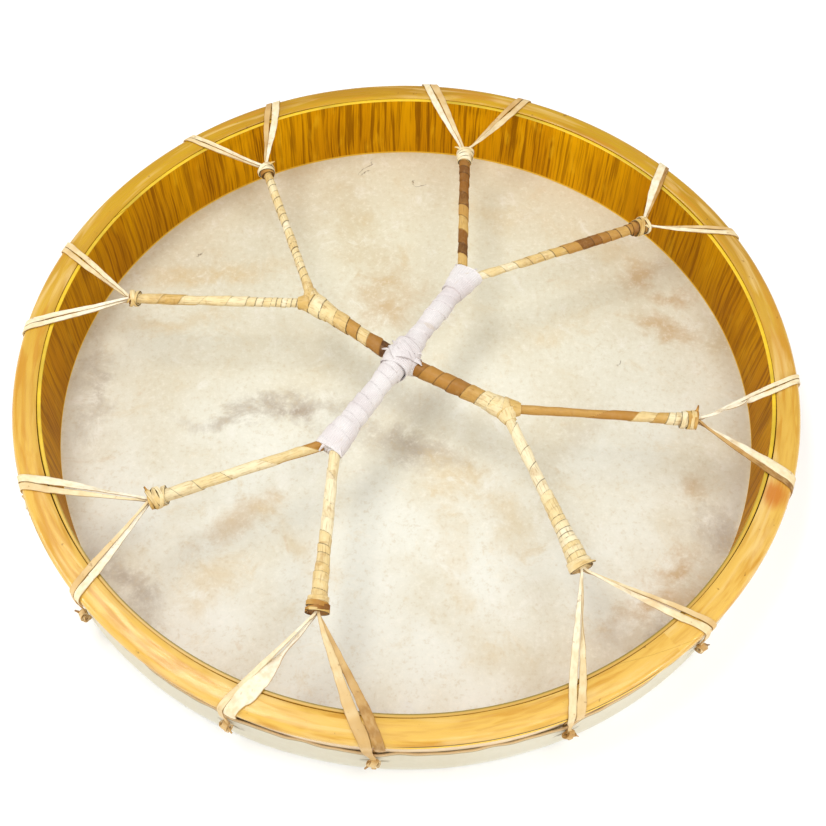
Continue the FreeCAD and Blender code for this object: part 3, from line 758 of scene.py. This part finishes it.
# Level of the skirt's cut edge, above its mean, at bearings round the drum.
SKIRT_EDGE = [(0, 0.0), (40, 1.0), (90, -0.6), (140, 0.8), (190, 0.4), (225, 2.4), (247, 3.0),
              (261, 0.2), (270, 1.0), (284, -0.9), (294, 0.2), (306, 2.0), (330, 0.6), (360, 0.0)]


SKIRT_STEPS = 1440
SLIT_HALF_LENGTH = 7.5 * MM
SLIT_HALF_HEIGHT = 2.0 * MM
SLIT_PULL_REACH = 9 * MM
FOOT_ROUND = 2.8 * MM
HIDE_SHEET = 1.3 * MM


def make_head():
    """Hide flat over the hoops, turned up into a skirt whose slits are pulled open by the thongs."""
    steps = SKIRT_STEPS
    angle = np.linspace(0, 2 * math.pi, steps, endpoint=False)
    opening, pull = np.zeros(steps), np.zeros(steps)
    for bearing in slit_bearings():
        gap = (angle - math.radians(bearing) + math.pi) % (2 * math.pi) - math.pi
        offset = gap * SKIRT_OUTER
        inside = np.clip(1 - (offset / SLIT_HALF_LENGTH) ** 2, 0, None)
        opening = np.maximum(opening, SLIT_HALF_HEIGHT * inside ** 0.8)
        pull = np.maximum(pull, np.exp(-(offset / SLIT_PULL_REACH) ** 2))
    wave = wander(angle * SKIRT_OUTER, 0.21, 5, 4)
    drift = wander(angle * SKIRT_OUTER, 0.047, 9, 3)
    for wobble in (wave, drift):
        wobble *= np.minimum(1, np.minimum(angle, 2 * math.pi - angle) / 0.1)
    middle = (SKIRT_OUTER + SKIRT_INNER) / 2 - 0.1 * MM
    bearings, lifts = np.array(SKIRT_EDGE).T
    trend = np.interp(np.degrees(angle), bearings, lifts) * MM
    edge_level = SKIRT_TOP + trend + 0.4 * MM * wave + 0.6 * MM * pull
    skin = Skin()

    def ring(radius, level):
        radius, level = np.broadcast_to(radius, steps), np.broadcast_to(level, steps)
        return np.stack([radius * np.cos(angle), radius * np.sin(angle), level], axis=-1)

    flat_level = HIDE / 2
    rows = []
    for share in np.linspace(0.02, 1, 46) ** 0.8:
        reach = (middle - FOOT_ROUND) * share
        swell = 0.12 * MM * share * np.sin(3 * angle + 9 * share) * math.sin(math.pi * min(share, 1))
        rows.append(ring(reach, flat_level + 0.15 * MM + swell))
    for degrees in range(15, 91, 15):
        turn = math.radians(degrees)
        rows.append(ring(middle - FOOT_ROUND * (1 - math.sin(turn)),
                         flat_level + 0.1 * MM + FOOT_ROUND * (1 - math.cos(turn))))
    for share in (0.35, 0.7):
        rows.append(ring(middle + 0.2 * MM * drift, 4 * MM + share * (SLIT_LEVEL - 5 * MM)))
    closed = 1 - opening / SLIT_HALF_HEIGHT
    rows.append(ring(middle + 0.2 * MM * drift + 0.4 * MM * pull * closed, SLIT_LEVEL - opening))
    columns = angle.tolist() + [2 * math.pi]
    skin.grid(np.array(rows), np.linspace(0, 0.25, len(rows)), columns, capped=False)
    centre = len(skin.points)
    skin.points.append((0, 0, flat_level + 0.15 * MM))
    skin.tones.append(0.0)
    skin.seams.append(0.0)
    for j in range(steps):
        skin.faces.append((centre, j, (j + 1) % steps))
        skin.corners += [(0, 0)] * 3
        skin.surfaces.append(0)
    lip = middle + 0.2 * MM * drift + 0.4 * MM * pull
    upper = [ring(lip, SLIT_LEVEL + opening)]
    for share in (0.33, 0.66, 0.84, 0.95, 1.0):
        level = SLIT_LEVEL + opening + share * (edge_level - SLIT_LEVEL - opening)
        lean = 0.8 * MM * share * (1 - pull)
        upper.append(ring(lip + 0.25 * MM * drift * share - lean, level))
    # Seam marks on the skirt's top rows: the band under the cut edge takes the dark edge colour with painted
    # shadow, and the top row takes the cut edge's tone.
    edge = np.array([0.0, 0.0, 0.0, 0.0, 0.6, 1.0])
    skin.grid(np.array(upper), np.linspace(0.2, 0.25, len(upper)), columns,
              seams=edge[:, None], capped=False)
    head = skin.piece("drum_head", [head_hide_paint()], "head_hide", "drum_head")
    solid = head.modifiers.new("thickness", "SOLIDIFY")
    solid.thickness = HIDE_SHEET
    solid.offset = 0
    solid.use_even_offset = True
    reach = SKIRT_OUTER + SKIRT_TOP


# ---------------------------------------------------------------- thongs

# The two bands of each thong, outer first: tone, then width in millimetres near the knot, half
# way, at the rim's inner edge and on its shoulder, then the twist half way in degrees.
THONG_BANDS = {
    "1a": ((0.15, 1.7, 2.2, 2.8, 3.2, 0), (0.25, 1.4, 2.0, 2.8, 3.0, 20)),
    "1b": ((0.1, 1.6, 3.0, 4.6, 4.8, 0), (0.5, 1.4, 2.4, 3.8, 3.8, 30)),
    "2a": ((0.4, 1.6, 2.8, 4.4, 4.6, 0), (0.05, 1.6, 3.0, 4.4, 4.2, 0)),
    "2b": ((0.3, 1.3, 3.2, 3.8, 4.4, 70), (0.5, 1.2, 2.4, 3.2, 3.4, 0)),
    "3a": ((0.68, 1.2, 1.5, 2.2, 2.6, 0), (0.02, 1.8, 3.6, 5.2, 5.2, 0)),
    "3b": ((0.12, 1.4, 1.8, 2.8, 3.6, 60), (0.4, 1.2, 1.4, 2.4, 2.6, 0)),
    "4a": ((0.08, 1.6, 3.6, 2.8, 2.8, 150), (0.08, 1.3, 1.8, 2.6, 2.6, 0)),
    "4b": ((0.72, 1.5, 2.4, 3.2, 3.4, 0), (0.12, 1.6, 3.8, 5.8, 6.0, 0)),
    "5a": ((0.2, 1.3, 2.4, 4.2, 4.6, 60), (0.35, 1.2, 1.8, 3.0, 3.2, 0)),
    "5b": ((0.15, 1.4, 3.0, 4.2, 4.0, 0), (0.28, 1.2, 2.0, 3.8, 4.8, 90)),
    "6a": ((0.45, 2.4, 4.2, 6.2, 6.4, 0), (0.64, 2.2, 3.4, 5.2, 5.6, 0)),
    "6b": ((0.2, 1.4, 2.2, 3.2, 3.4, 0), (0.0, 1.4, 5.6, 10.4, 6.8, 60)),
    "7a": ((0.4, 1.4, 2.2, 3.4, 3.8, 0), (0.03, 1.4, 2.6, 4.2, 4.4, 0)),
    "7b": ((0.08, 1.3, 3.0, 4.6, 4.4, 40), (0.3, 1.2, 2.4, 4.0, 4.2, 0)),
    "8a": ((0.04, 1.7, 2.4, 3.4, 3.6, 0), (0.06, 1.6, 2.4, 3.2, 3.4, 0)),
    "8b": ((0.22, 1.6, 2.6, 3.4, 3.6, 0), (0.3, 1.5, 2.4, 3.4, 3.4, 30)),
}
THONG_THICKNESS = 0.9 * MM
STRAND = 1.6 * MM
STRAND_OFFSET = 0.85 * MM

# Each band's drop from the rim to the slit: radius and level in millimetres, share of its sideways
# spread, and share of its width. The front band hangs outside the skirt and the back band goes behind it.
FRONT_DROP = [(226.2, 41, 0.8, 0.8), (225.3, 33, 0.45, 0.6), (225.0, 27, 0.15, 0.5)]
BACK_DROP = [(225.0, 41, 0.8, 0.75), (222.3, 33, 0.4, 0.55), (220.8, 27, 0.15, 0.5)]

# The bight through a slit, as radius and level, and the place of the knot outside it, in
# millimetres.
BIGHT = [(220.8, 21.6), (221.5, 19), (222.9, 17.6), (224.8, 17.1), (226.6, 17.9), (227.6, 19.7),
         (227.2, 21.8), (226.0, 23.6)]
BIGHT_WIDTH = 2.6 * MM
KNOT_RADIUS = 226.2
KNOT_LEVEL = 24.2


def run_to_radius(start, run, length, radius):
    """Distance along a straight plan run at which it meets the given radius."""
    ahead = start.dot(run)
    under_root = ahead * ahead - start.dot(start) + radius * radius
    return min(-ahead + math.sqrt(under_root), length)


def thong_half(number, side, front):
    """Stations of one band, from inside its spoke out to just above the skirt's slit."""
    key, _, _, thongs = SPOKES[number]
    bearing = thongs[side]
    bands = THONG_BANDS[f"{number}{side}"]
    _, near, half, full, broad, twist = bands[0 if front else 1]
    other_full = bands[1 if front else 0][3]
    tip = spoke_end(number)
    spoke = (tip - junction_point(key)).normalized()
    outward, sideways = polar(1, bearing), polar(1, bearing + 90)
    across = UP.cross(spoke)
    lean = STRAND_OFFSET if side == "a" else -STRAND_OFFSET
    lift = STRAND_OFFSET if front else -STRAND_OFFSET
    start = junction_point(key) + spoke * JUNCTION_STOP
    stations = []
    for point in (start, tip - spoke * 10 * MM, tip + spoke * 1 * MM):
        stations.append((point + across * lean + UP * lift, across, STRAND, STRAND))
    hand = -1 if front else 1
    spread = (full / 2 + 0.35) * MM * hand + (other_full - full) * 0.15 * MM
    reach = SHOULDER_ROUND + THONG_THICKNESS / 2 + 0.3 * MM
    crown = RIM_TOP + THONG_THICKNESS / 2 + 0.1 * MM
    profile = [(SHELL_INNER + 1 * MM, crown, full), (SHOULDER_RADIUS - 6 * MM, crown, full)]
    for angle in (84, 56, 28, 0, -16):
        turn = math.radians(angle)
        profile.append((SHOULDER_RADIUS + reach * math.cos(turn),
                        SHOULDER_LEVEL + reach * math.sin(turn), broad))
    landing = polar(profile[-1][0], bearing)
    flat_tip = Vector((tip.x, tip.y, 0))
    run = (landing - flat_tip).normalized()
    run_length = (landing - flat_tip).length
    run_across = UP.cross(run)
    free = run_to_radius(flat_tip, run, run_length, SHELL_INNER) - 2 * MM
    for share, wide, open_share, turn_share in ((0.16, near, 0.22, 0.15), (0.5, half, 0.5, 1.0),
                                                (0.84, (half + full * 2) / 3, 0.85, 0.12)):
        turn = math.radians(twist * turn_share)
        tilted = run_across * math.cos(turn) + UP * math.sin(turn)
        sag = math.sin(math.pi * share) * 0.5 * MM
        level = WEB_LEVEL + (crown - WEB_LEVEL) * share + lift * (1 - share) - sag
        centre = flat_tip + run * (free * share) + run_across * (spread * open_share)
        centre.z = level
        stations.append((centre, tilted, wide * MM, THONG_THICKNESS))
    for index, (radius, level, wide) in enumerate(profile):
        share = min(index / 2, 1)
        distance = run_to_radius(flat_tip, run, run_length, radius)
        toward = (run_across * (1 - share) + sideways * share).normalized()
        centre = flat_tip + run * distance + toward * spread
        centre.z = level
        stations.append((centre, toward, wide * MM, THONG_THICKNESS))
    for radius, level, shift, narrow in FRONT_DROP if front else BACK_DROP:
        centre = outward * radius * MM + sideways * (spread * shift) + UP * level * MM
        stations.append((centre, sideways, max(broad * narrow, 1.8) * MM, THONG_THICKNESS))
    return stations


def add_tail(skin, root, heading, across, length, width, tone_value, seed):
    """A short cut end of strip that curls away from a knot and narrows to a point."""
    curl = UP * (length * 0.25)
    stations = []
    for share in (0.0, 0.35, 0.7, 1.0):
        centre = root + heading * (length * share) + curl * (share * (1 - share) * 2)
        turned = across.lerp(UP, 0.5 * share).normalized()
        stations.append((centre, turned, width * (1 - 0.75 * share), 0.8 * MM))
    add_strip(skin, stations, [tone_value, min(tone_value + 0.15, 1)], seed, spacing=0.8 * MM)


def make_thong(number, side, material):
    """Out along one band, through the slit as a bight, back along the other, and knotted there."""
    name = f"{number}{side}"
    source = random.Random(name)
    bearing = SPOKES[number][3][side]
    outward, sideways = polar(1, bearing), polar(1, bearing + 90)
    bands = THONG_BANDS[name]
    stations = thong_half(number, side, front=False)
    for radius, level in BIGHT:
        centre = outward * radius * MM + UP * level * MM
        stations.append((centre, sideways, BIGHT_WIDTH, THONG_THICKNESS))
    stations += list(reversed(thong_half(number, side, front=True)))
    behind, before = bands[1][0], bands[0][0]
    tones = [behind] * 4 + [min(behind + 0.2, 1), 0.65, min(before + 0.2, 1)] + [before] * 4
    skin = Skin()
    seed = number * 10 + ord(side)
    add_strip(skin, stations, tones, seed)
    knot = (outward * KNOT_RADIUS * MM + sideways * source.uniform(-1, 1) * MM
            + UP * KNOT_LEVEL * MM)
    lying = (sideways + outward * 0.25 + UP * source.uniform(-0.5, 0.5)).normalized()
    add_loop(skin, knot, lying, 1.9 * MM, 0.7 * MM, source.uniform(0, 6), 3.6 * MM, 0.9 * MM,
             source.uniform(0.35, 0.7), seed)
    add_loop(skin, knot + sideways * 1.8 * MM - UP * 1.2 * MM, (lying + UP * 0.8).normalized(), 1.5 * MM,
             0.5 * MM, source.uniform(0, 6), 2.6 * MM, 0.9 * MM, source.uniform(0.3, 0.85), seed + 3)
    add_loop(skin, knot - sideways * 1.6 * MM - UP * 0.4 * MM, (lying - UP * 0.7).normalized(), 1.4 * MM,
             0.5 * MM, source.uniform(0, 6), 2.4 * MM, 0.9 * MM, source.uniform(0.2, 0.7), seed + 5)
    for hand in source.choice(((-1,), (1,), (-1, 1))):
        heading = (sideways * hand * source.uniform(0.5, 1.0) + outward * 0.3
                   - UP * source.uniform(-0.2, 0.7)).normalized()
        add_tail(skin, knot, heading, UP.cross(heading).normalized(), source.uniform(3.5, 7) * MM,
                 source.uniform(1.4, 2.4) * MM, source.uniform(0.3, 0.85), seed + hand)
    skin.piece(f"thong_{name}", [material], "thong_hide", f"thong_{name}")


# ---------------------------------------------------------------- spoke wraps and cross bars

# The binding of each spoke from its junction outwards: tones (0 cream, 1 dark brown), lengths of
# one turn and radii of the bound spoke, both in millimetres.
SPOKE_LOOKS = {
    1: ([0.3, 0.25, 0.35, 0.2, 0.15, 0.22, 0.2, 0.3, 0.6], [9, 5, 4, 8, 7, 5, 4], [2.9, 2.6, 2.6, 2.7, 2.9]),
    2: ([0.35, 0.85, 0.82, 0.45, 0.48, 0.78, 0.8, 0.84, 0.78, 0.8, 0.5, 0.2],
        [8, 9, 11, 12, 8, 4, 5], [2.8, 3.0, 3.1, 3.3, 3.5]),
    3: ([0.15, 0.2, 0.2, 0.35, 0.45, 0.5, 0.88, 0.55, 0.6, 0.85], [11, 11, 8, 8, 7, 6],
        [2.4, 2.6, 3.0, 3.5, 3.4]),
    4: ([0.62, 0.58, 0.62, 0.56, 0.6, 0.34, 0.42, 0.1, 0.15], [40, 40, 36, 12, 5, 3.5],
        [2.6, 2.5, 2.6, 3.0, 4.2]),
    5: ([0.2, 0.15, 0.15, 0.2, 0.2, 0.15, 0.2, 0.25], [13, 12, 9, 5, 3.2, 3], [3.0, 3.1, 3.4, 4.3, 5.8]),
    6: ([0.25, 0.15, 0.2, 0.18, 0.2, 0.25, 0.35, 0.5], [16, 14, 9, 5, 5, 4], [2.9, 3.1, 3.4, 3.9, 4.6]),
    7: ([0.7, 0.2, 0.22, 0.2, 0.25, 0.2, 0.22, 0.2], [22, 26, 24, 18, 12, 8], [3.0, 3.0, 3.1, 3.3, 3.7]),
    8: ([0.2, 0.15, 0.25, 0.15, 0.2, 0.46, 0.42, 0.3], [3.5, 4, 12, 16, 12, 7], [2.8, 2.8, 2.8, 2.9, 3.2]),
}


def wound_tube(skin, start, end, tones, turns, wide, tall=None, seed=0, step=0.35 * MM, hand=1,
               dark=0.9, capped=True):
    """A strip wound in a spiral on a straight core, each turn lapping the one before it."""
    source = random.Random(seed)
    tall = tall or wide
    axis = end - start
    length = axis.length
    ahead = axis.normalized()
    side = UP.cross(ahead).normalized()
    top = ahead.cross(side)

    def along(values, spots):
        return np.interp(spots / length, np.linspace(0, 1, len(values)), values)

    edges = [-3 * turns[0] * MM]
    while edges[-1] < length + 3 * turns[-1] * MM:
        edges.append(edges[-1] + float(along(turns, edges[-1])) * source.uniform(0.7, 1.3) * MM)
    edges = np.array(edges)
    lift = np.array([source.uniform(-0.15, 0.2) for _ in edges]) * MM
    tint = np.array([source.uniform(-0.12, 0.12) for _ in edges])
    depth = np.array([source.choice((0.45, 0.8, 1.0, 1.0)) for _ in edges]) * dark
    order = np.arange(len(edges))
    columns = 32
    count = max(20, int(length / (0.4 * MM)))
    spots = np.linspace(0, length, count)
    angle = np.linspace(0, 2 * math.pi, columns, endpoint=False)
    sway = 0.06 * wander(spots, 0.04, seed + 1)
    rows = np.zeros((count, columns, 3))
    tints, seams = np.zeros((count, columns)), np.zeros((count, columns))
    for j, turn in enumerate(angle):
        share_round = turn / (2 * math.pi) if hand > 0 else 1 - turn / (2 * math.pi)
        lines = np.interp(order + share_round, order, edges)
        index = np.clip(np.searchsorted(lines, spots, side="right") - 1, 0, len(edges) - 2)
        share = np.clip((spots - lines[index]) / np.maximum(lines[index + 1] - lines[index], 1e-6), 0, 1)
        near = np.minimum(spots - lines[index], 2 * (lines[index + 1] - spots))
        groove = np.exp(-(near / (0.5 * MM)) ** 2)
        rise = lift[index] + step * (0.5 - share) - 0.2 * MM * groove
        flutter = 0.1 * MM * np.sin(turn * 3 + index * 1.7)
        reach_wide = along(wide, spots) * MM * (1 + sway) + rise + flutter
        reach_tall = along(tall, spots) * MM * (1 + sway) + rise + flutter
        offset = (math.cos(turn) * reach_wide[:, None] * np.array(side)
                  + math.sin(turn) * reach_tall[:, None] * np.array(top))
        rows[:, j] = np.array(start) + spots[:, None] * np.array(ahead) + offset
        middle = np.clip((edges[index] + edges[index + 1]) / 2 / length, 0, 1)
        tints[:, j] = along(tones, middle * length) + tint[index]
        seams[:, j] = groove * depth[index]
    skin.grid(rows, spots, np.linspace(0, 0.03, columns + 1), np.clip(tints, 0, 1), seams,
              capped=capped)


def make_spoke_wrap(number, material):
    start, tip = junction_point(SPOKES[number][0]), spoke_end(number)
    ahead = (tip - start).normalized()
    tones, turns, radii = SPOKE_LOOKS[number]
    skin = Skin()
    wound_tube(skin, start + ahead * JUNCTION_STOP, tip, tones, turns, radii, seed=100 + number,
               hand=1 if number % 2 else -1)
    skin.piece(f"spoke_{number}_wrap", [material], "wrap_hide", f"spoke_{number}_wrap")


def add_loop(skin, centre, axis, radius, tilt, turn, width, thickness, tone_value, seed, flat=1.0):
    """A closed turn of strip round an axis, tilted so that it crosses its neighbours."""
    side = Vector(axis.orthogonal() if abs(axis.z) > 0.9 else UP.cross(axis)).normalized()
    top = axis.cross(side)
    angle = np.linspace(0, 2 * math.pi, 41)
    direction = np.cos(angle)[:, None] * np.array(side) + np.sin(angle)[:, None] * np.array(top) * flat
    shift = tilt * np.cos(angle - turn)
    wobble = 1 + 0.05 * np.sin(3 * angle + seed)
    centres = np.array(centre) + direction * (radius * wobble)[:, None] + np.array(axis) * shift[:, None]
    shape = np.array(STRIP_SECTION)
    breadth = width / 2 * (1 + 0.12 * np.sin(2 * angle + seed * 2))
    rows = centres[:, None, :] + np.array(axis) * (shape[:, 0][None, :] * breadth[:, None])[..., None]
    rows = rows + direction[:, None, :] * (shape[:, 1] * thickness / 2)[None, :, None]
    edges = (np.abs(shape[:, 0]) > 0.95).astype(float)
    tint = tone_value + 0.08 * np.sin(angle * 2 + seed)
    skin.grid(rows, angle * radius, np.linspace(0, 2 * width, len(shape) + 1),
              np.clip(tint, 0, 1)[:, None], edges[None, :], capped=False)


# Turns of each knot, in millimetres: distance back from the spoke's end, radius, tilt, bearing of
# the tilt in radians, width of the strip, and tone.
COLLAR_TURNS = {
    1: [(5.5, 3.6, 0.4, 1.0, 3.0, 0.7), (3.4, 4.6, 1.0, 0.2, 2.6, 0.15), (1.8, 4.9, 1.4, 2.4, 2.6, 0.12),
        (1.0, 4.2, 0.6, 3.0, 2.0, 0.35)],
    2: [(7.5, 3.9, 0.4, 0.4, 3.6, 0.12), (5.0, 4.3, 0.5, 2.0, 3.4, 0.08), (2.6, 4.7, 0.6, 0.8, 3.4, 0.1),
        (0.8, 5.0, 0.9, 2.8, 2.2, 0.15)],
    3: [(7.0, 4.0, 0.5, 0.8, 2.6, 0.75), (4.4, 4.9, 1.6, 1.6, 2.6, 0.5), (2.0, 5.2, 2.2, 0.6, 2.4, 0.42),
        (0.4, 5.4, 2.4, 2.2, 1.9, 0.2)],
    4: [(7.2, 4.6, 0.7, 0.4, 3.0, 0.12), (4.6, 4.8, 0.9, 2.4, 2.6, 0.5), (2.2, 5.0, 0.5, 1.2, 3.2, 0.3),
        (0.6, 5.1, 0.5, 0.2, 2.2, 0.62)],
    5: [(3.0, 6.0, 0.3, 1.0, 3.0, 0.2), (0.9, 6.2, 0.5, 2.4, 2.6, 0.3)],
    6: [(6.6, 5.0, 0.4, 1.4, 3.4, 0.3), (3.6, 5.5, 0.9, 0.4, 3.0, 0.62), (1.4, 5.7, 1.1, 2.6, 3.0, 0.78),
        (0.3, 5.6, 0.5, 1.2, 1.8, 0.45)],
    7: [(7.6, 4.8, 1.4, 0.6, 2.6, 0.2), (5.2, 5.3, 2.4, 1.8, 2.6, 0.3), (3.2, 5.6, 2.8, 4.4, 2.4, 0.22),
        (1.2, 5.4, 1.6, 2.6, 2.6, 0.35), (0.2, 4.6, 0.6, 1.0, 2.0, 0.5)],
    8: [(4.2, 4.2, 1.0, 0.6, 2.0, 0.3), (2.4, 4.6, 1.8, 2.2, 1.8, 0.35), (0.8, 4.6, 1.6, 4.4, 1.8, 0.3)],
}


def make_collar(number, material):
    """Knotted end of the binding: lapped and crossing turns, a closed end and a cut tail."""
    tip = spoke_end(number)
    ahead = (tip - junction_point(SPOKES[number][0])).normalized()
    across = UP.cross(ahead)
    source = random.Random(200 + number)
    skin = Skin()
    turns = COLLAR_TURNS[number]
    for index, (back, radius, tilt, turn, width, tone_value) in enumerate(turns):
        add_loop(skin, tip - ahead * back * MM, ahead, radius * MM, tilt * MM, turn, width * MM,
                 1.3 * MM, tone_value, number * 7 + index, flat=0.85)
    core = turns[-1][1] * 0.92
    bound = SPOKE_LOOKS[number][2][-1]
    wound_tube(skin, tip - ahead * turns[0][0] * MM, tip + ahead * 0.3 * MM, [turns[0][5], 0.75],
               [3, 3], [bound + 0.2, core], [bound, core * 0.85], seed=500 + number)
    root = tip - ahead * turns[-1][0] * MM + UP * core * 0.6 * MM
    hand = source.choice((-1, 1))
    heading = (across * hand + UP * 0.3 + ahead * 0.3).normalized()
    add_tail(skin, root + across * hand * core * 0.5 * MM, heading, ahead,
             source.uniform(3.5, 5.5) * MM, 2.2 * MM, turns[-1][5], 520 + number)
    skin.piece(f"spoke_{number}_collar", [material], "wrap_hide", f"spoke_{number}_collar")


def crossing_point(level):
    return Vector((CROSSING.x, CROSSING.y, level))


# Tones and radii of the two hide bars from the crossing to their junctions.
ARM_TONES = {"c": [0.85, 0.72, 0.3, 0.62, 0.2, 0.15, 0.2], "d": [0.86, 0.72, 0.7, 0.66, 0.35, 0.15, 0.2]}
ARM_RADII = {"c": ([4.6, 4.4, 4.6, 5.0, 5.4], [4.4, 4.2, 4.4, 4.8, 5.0]),
             "d": ([4.9, 5.2, 4.9, 5.0, 5.6], [4.6, 4.7, 4.5, 4.8, 5.0])}


def make_arm(kind, key, level, material):
    middle = crossing_point(level)
    end = junction_point(key)
    ahead = (end - middle).normalized()
    skin = Skin()
    name = f"{kind}_arm_{key}"
    start, stop = middle + ahead * 9 * MM, end - ahead * 1 * MM
    if kind == "tape":
        slim = 0.5 if key == "a" else 0.0
        wound_tube(skin, start, stop, [0.0], [6, 9, 7, 10], [6.8 - slim, 6.6 - slim, 6.9 - slim],
                   [6.2 - slim, 6.0 - slim, 6.2 - slim], ord(key), 0.6 * MM, 1 if key == "a" else -1, 0.8)
        skin.piece(name, [material], "cotton_tape", name)
    else:
        wound_tube(skin, start, stop, ARM_TONES[key], [9, 8, 9, 7], *ARM_RADII[key], ord(key),
                   0.5 * MM, 1 if key == "c" else -1)
        for index, hand in enumerate((-0.9, -0.2, 0.6)):
            across = UP.cross(ahead)
            root = start + UP * 3.6 * MM + across * hand * 3.4 * MM
            add_tail(skin, root, (-ahead + across * 0.3 * hand + UP * 0.1).normalized(), across,
                     (3.5 + index) * MM, 2.4 * MM, 0.8 - 0.2 * index, 600 + ord(key) + index)
        skin.piece(name, [material], "wrap_hide", name)


def make_junction(key, level, kind, material):
    """The bar's last turns, spread wide over the fork, and turns down each leg, with a cut tail on each leg
    of the cloth binding.
    """
    centre = junction_point(key)
    bar = (centre - crossing_point(level)).normalized()
    skin = Skin()
    soft = kind == "cotton_tape"
    start = centre - bar * 12 * MM + UP * (crossing_point(level).z - WEB_LEVEL) * 0.2
    if soft:
        wound_tube(skin, start, centre + bar * 7.5 * MM, [0.0], [8, 9], [7.2, 8.4, 9.2], [6.6, 6.4, 5.4],
                   300 + ord(key), 0.4 * MM, -1, 0.5)
    else:
        wound_tube(skin, start, centre + bar * 5.5 * MM, [0.2, 0.3, 0.4], [9, 12], [5.4, 6.6, 7.8],
                   [5.2, 5.2, 4.6], 300 + ord(key), 0.4 * MM, 1)
    legs = [(spoke_end(number) - centre).normalized()
            for number, (own, _, _, _) in SPOKES.items() if own == key]
    reach = 8.0 if soft else 9.5
    for index, leg in enumerate(legs):
        side = UP.cross(leg)
        radius = 3.9 if soft else 3.5
        wound_tube(skin, centre + leg * 3 * MM, centre + leg * reach * MM, [0.35], [9, 7],
                   [5.6, radius], [5.0, radius - 0.2], 310 + ord(key) + index, 0.3 * MM, 1, 0.6)
        if soft:
            add_tail(skin, centre + leg * 6 * MM + UP * 3.2 * MM + side * 1.5 * MM,
                     (leg + side * 0.5 - UP * 0.25).normalized(), side, 6 * MM, 3.2 * MM, 0.05,
                     330 + ord(key) + index)
    skin.piece(f"junction_{key}_binding", [material], kind, f"junction_{key}_binding")


# Cloth turns over the crossing: bearing of each turn's axis, radius, width, offset along the axis.
CROSSING_TURNS = [
    (61, 8.4, 12.0, 3.0), (61, 8.3, 11.0, -5.0), (105, 8.6, 9.0, 1.0), (18, 8.7, 9.0, -1.0),
    (82, 9.0, 8.0, 0.0), (40, 9.2, 7.0, 1.5), (150, 8.8, 7.0, 0.5)]
CROSSING_TAILS = (5, -25, 330, 120, 160, 250)


def make_crossing(material):
    """Cloth wound over the crossing in several directions, with the tape bar running into it."""
    skin = Skin()
    middle = crossing_point(OVER_LEVEL - 1.2 * MM)
    for keys, level, base, reach, turns, wide, tall, seed in (
            ("ab", OVER_LEVEL, middle, 15, [8, 9], [8.6, 7.6, 7.0], [8.0, 7.0, 6.4], 400),
            ("cd", UNDER_LEVEL, crossing_point(UNDER_LEVEL), 10, [7, 8], [7.2, 6.6, 5.8],
             [6.6, 6.0, 5.2], 410)):
        for key in keys:
            lean = (junction_point(key) - crossing_point(level)).normalized()
            wound_tube(skin, base - lean * 2 * MM, base + lean * reach * MM, [0.0], turns, wide,
                       tall, seed + ord(key), 0.4 * MM, 1, 0.5)
    for index, (bearing, radius, width, offset) in enumerate(CROSSING_TURNS):
        axis = polar(1, bearing)
        add_loop(skin, middle + axis * offset * MM, axis, radius * MM, 1.2 * MM, index * 1.3,
                 width * MM, 0.9 * MM, 0.0, 420 + index, flat=0.86)
    for index, bearing in enumerate(CROSSING_TAILS):
        heading = (polar(1, bearing) - UP * 0.25).normalized()
        root = middle + polar(7.5 * MM, bearing) + UP * 3.5 * MM
        add_tail(skin, root, heading, UP.cross(heading).normalized(), (4 + index % 3) * MM, 2.6 * MM,
                 0.0, 440 + index)
    skin.piece("crossing_binding", [material], "cotton_tape", "crossing_binding")


def make_cord(name, first, second, level, material):
    """Bundled strands inside a cross bar, seen only where the bindings leave a gap."""
    middle = crossing_point(level)
    start, end = junction_point(first), junction_point(second)
    skin = Skin()
    for half_start, half_end, seed in ((start, middle, 1), (middle, end, 2)):
        wound_tube(skin, half_start, half_end, [0.3], [5, 9], [2.4], seed=seed)
    skin.piece(name, [material], "thong_hide", name)


FLOOR_HALF = 3.0


def make_floor():
    mesh = bpy.data.meshes.new("floor")
    corners = [(x * FLOOR_HALF, y * FLOOR_HALF, 0) for x, y in ((-1, -1), (1, -1), (1, 1), (-1, 1))]
    mesh.from_pydata(corners, [], [(0, 1, 2, 3)])
    mesh.materials.append(floor_paint())
    floor = bpy.data.objects.new("floor", mesh)
    bpy.context.scene.collection.objects.link(floor)


set_camera()
light_scene()
make_floor()
make_shell()
make_outer_hoop()
make_rim()
make_head()
thong_material = thong_paint()
wrap_material = wrap_paint()
tape_material = tape_paint()
for spoke_number, (_, _, _, spoke_thongs) in SPOKES.items():
    make_spoke_wrap(spoke_number, wrap_material)
    make_collar(spoke_number, wrap_material)
    for thong_side in spoke_thongs:
        make_thong(spoke_number, thong_side, thong_material)
for bar_kind, bar_keys, bar_level, bar_slot, bar_material in (
        ("tape", "ab", OVER_LEVEL, "cotton_tape", tape_material),
        ("hide", "cd", UNDER_LEVEL, "wrap_hide", wrap_material)):
    for bar_key in bar_keys:
        make_arm(bar_kind, bar_key, bar_level, bar_material)
        make_junction(bar_key, bar_level, bar_slot, bar_material)
    make_cord(f"{bar_kind}_bar_cord", *bar_keys, bar_level, thong_material)
make_crossing(tape_material)
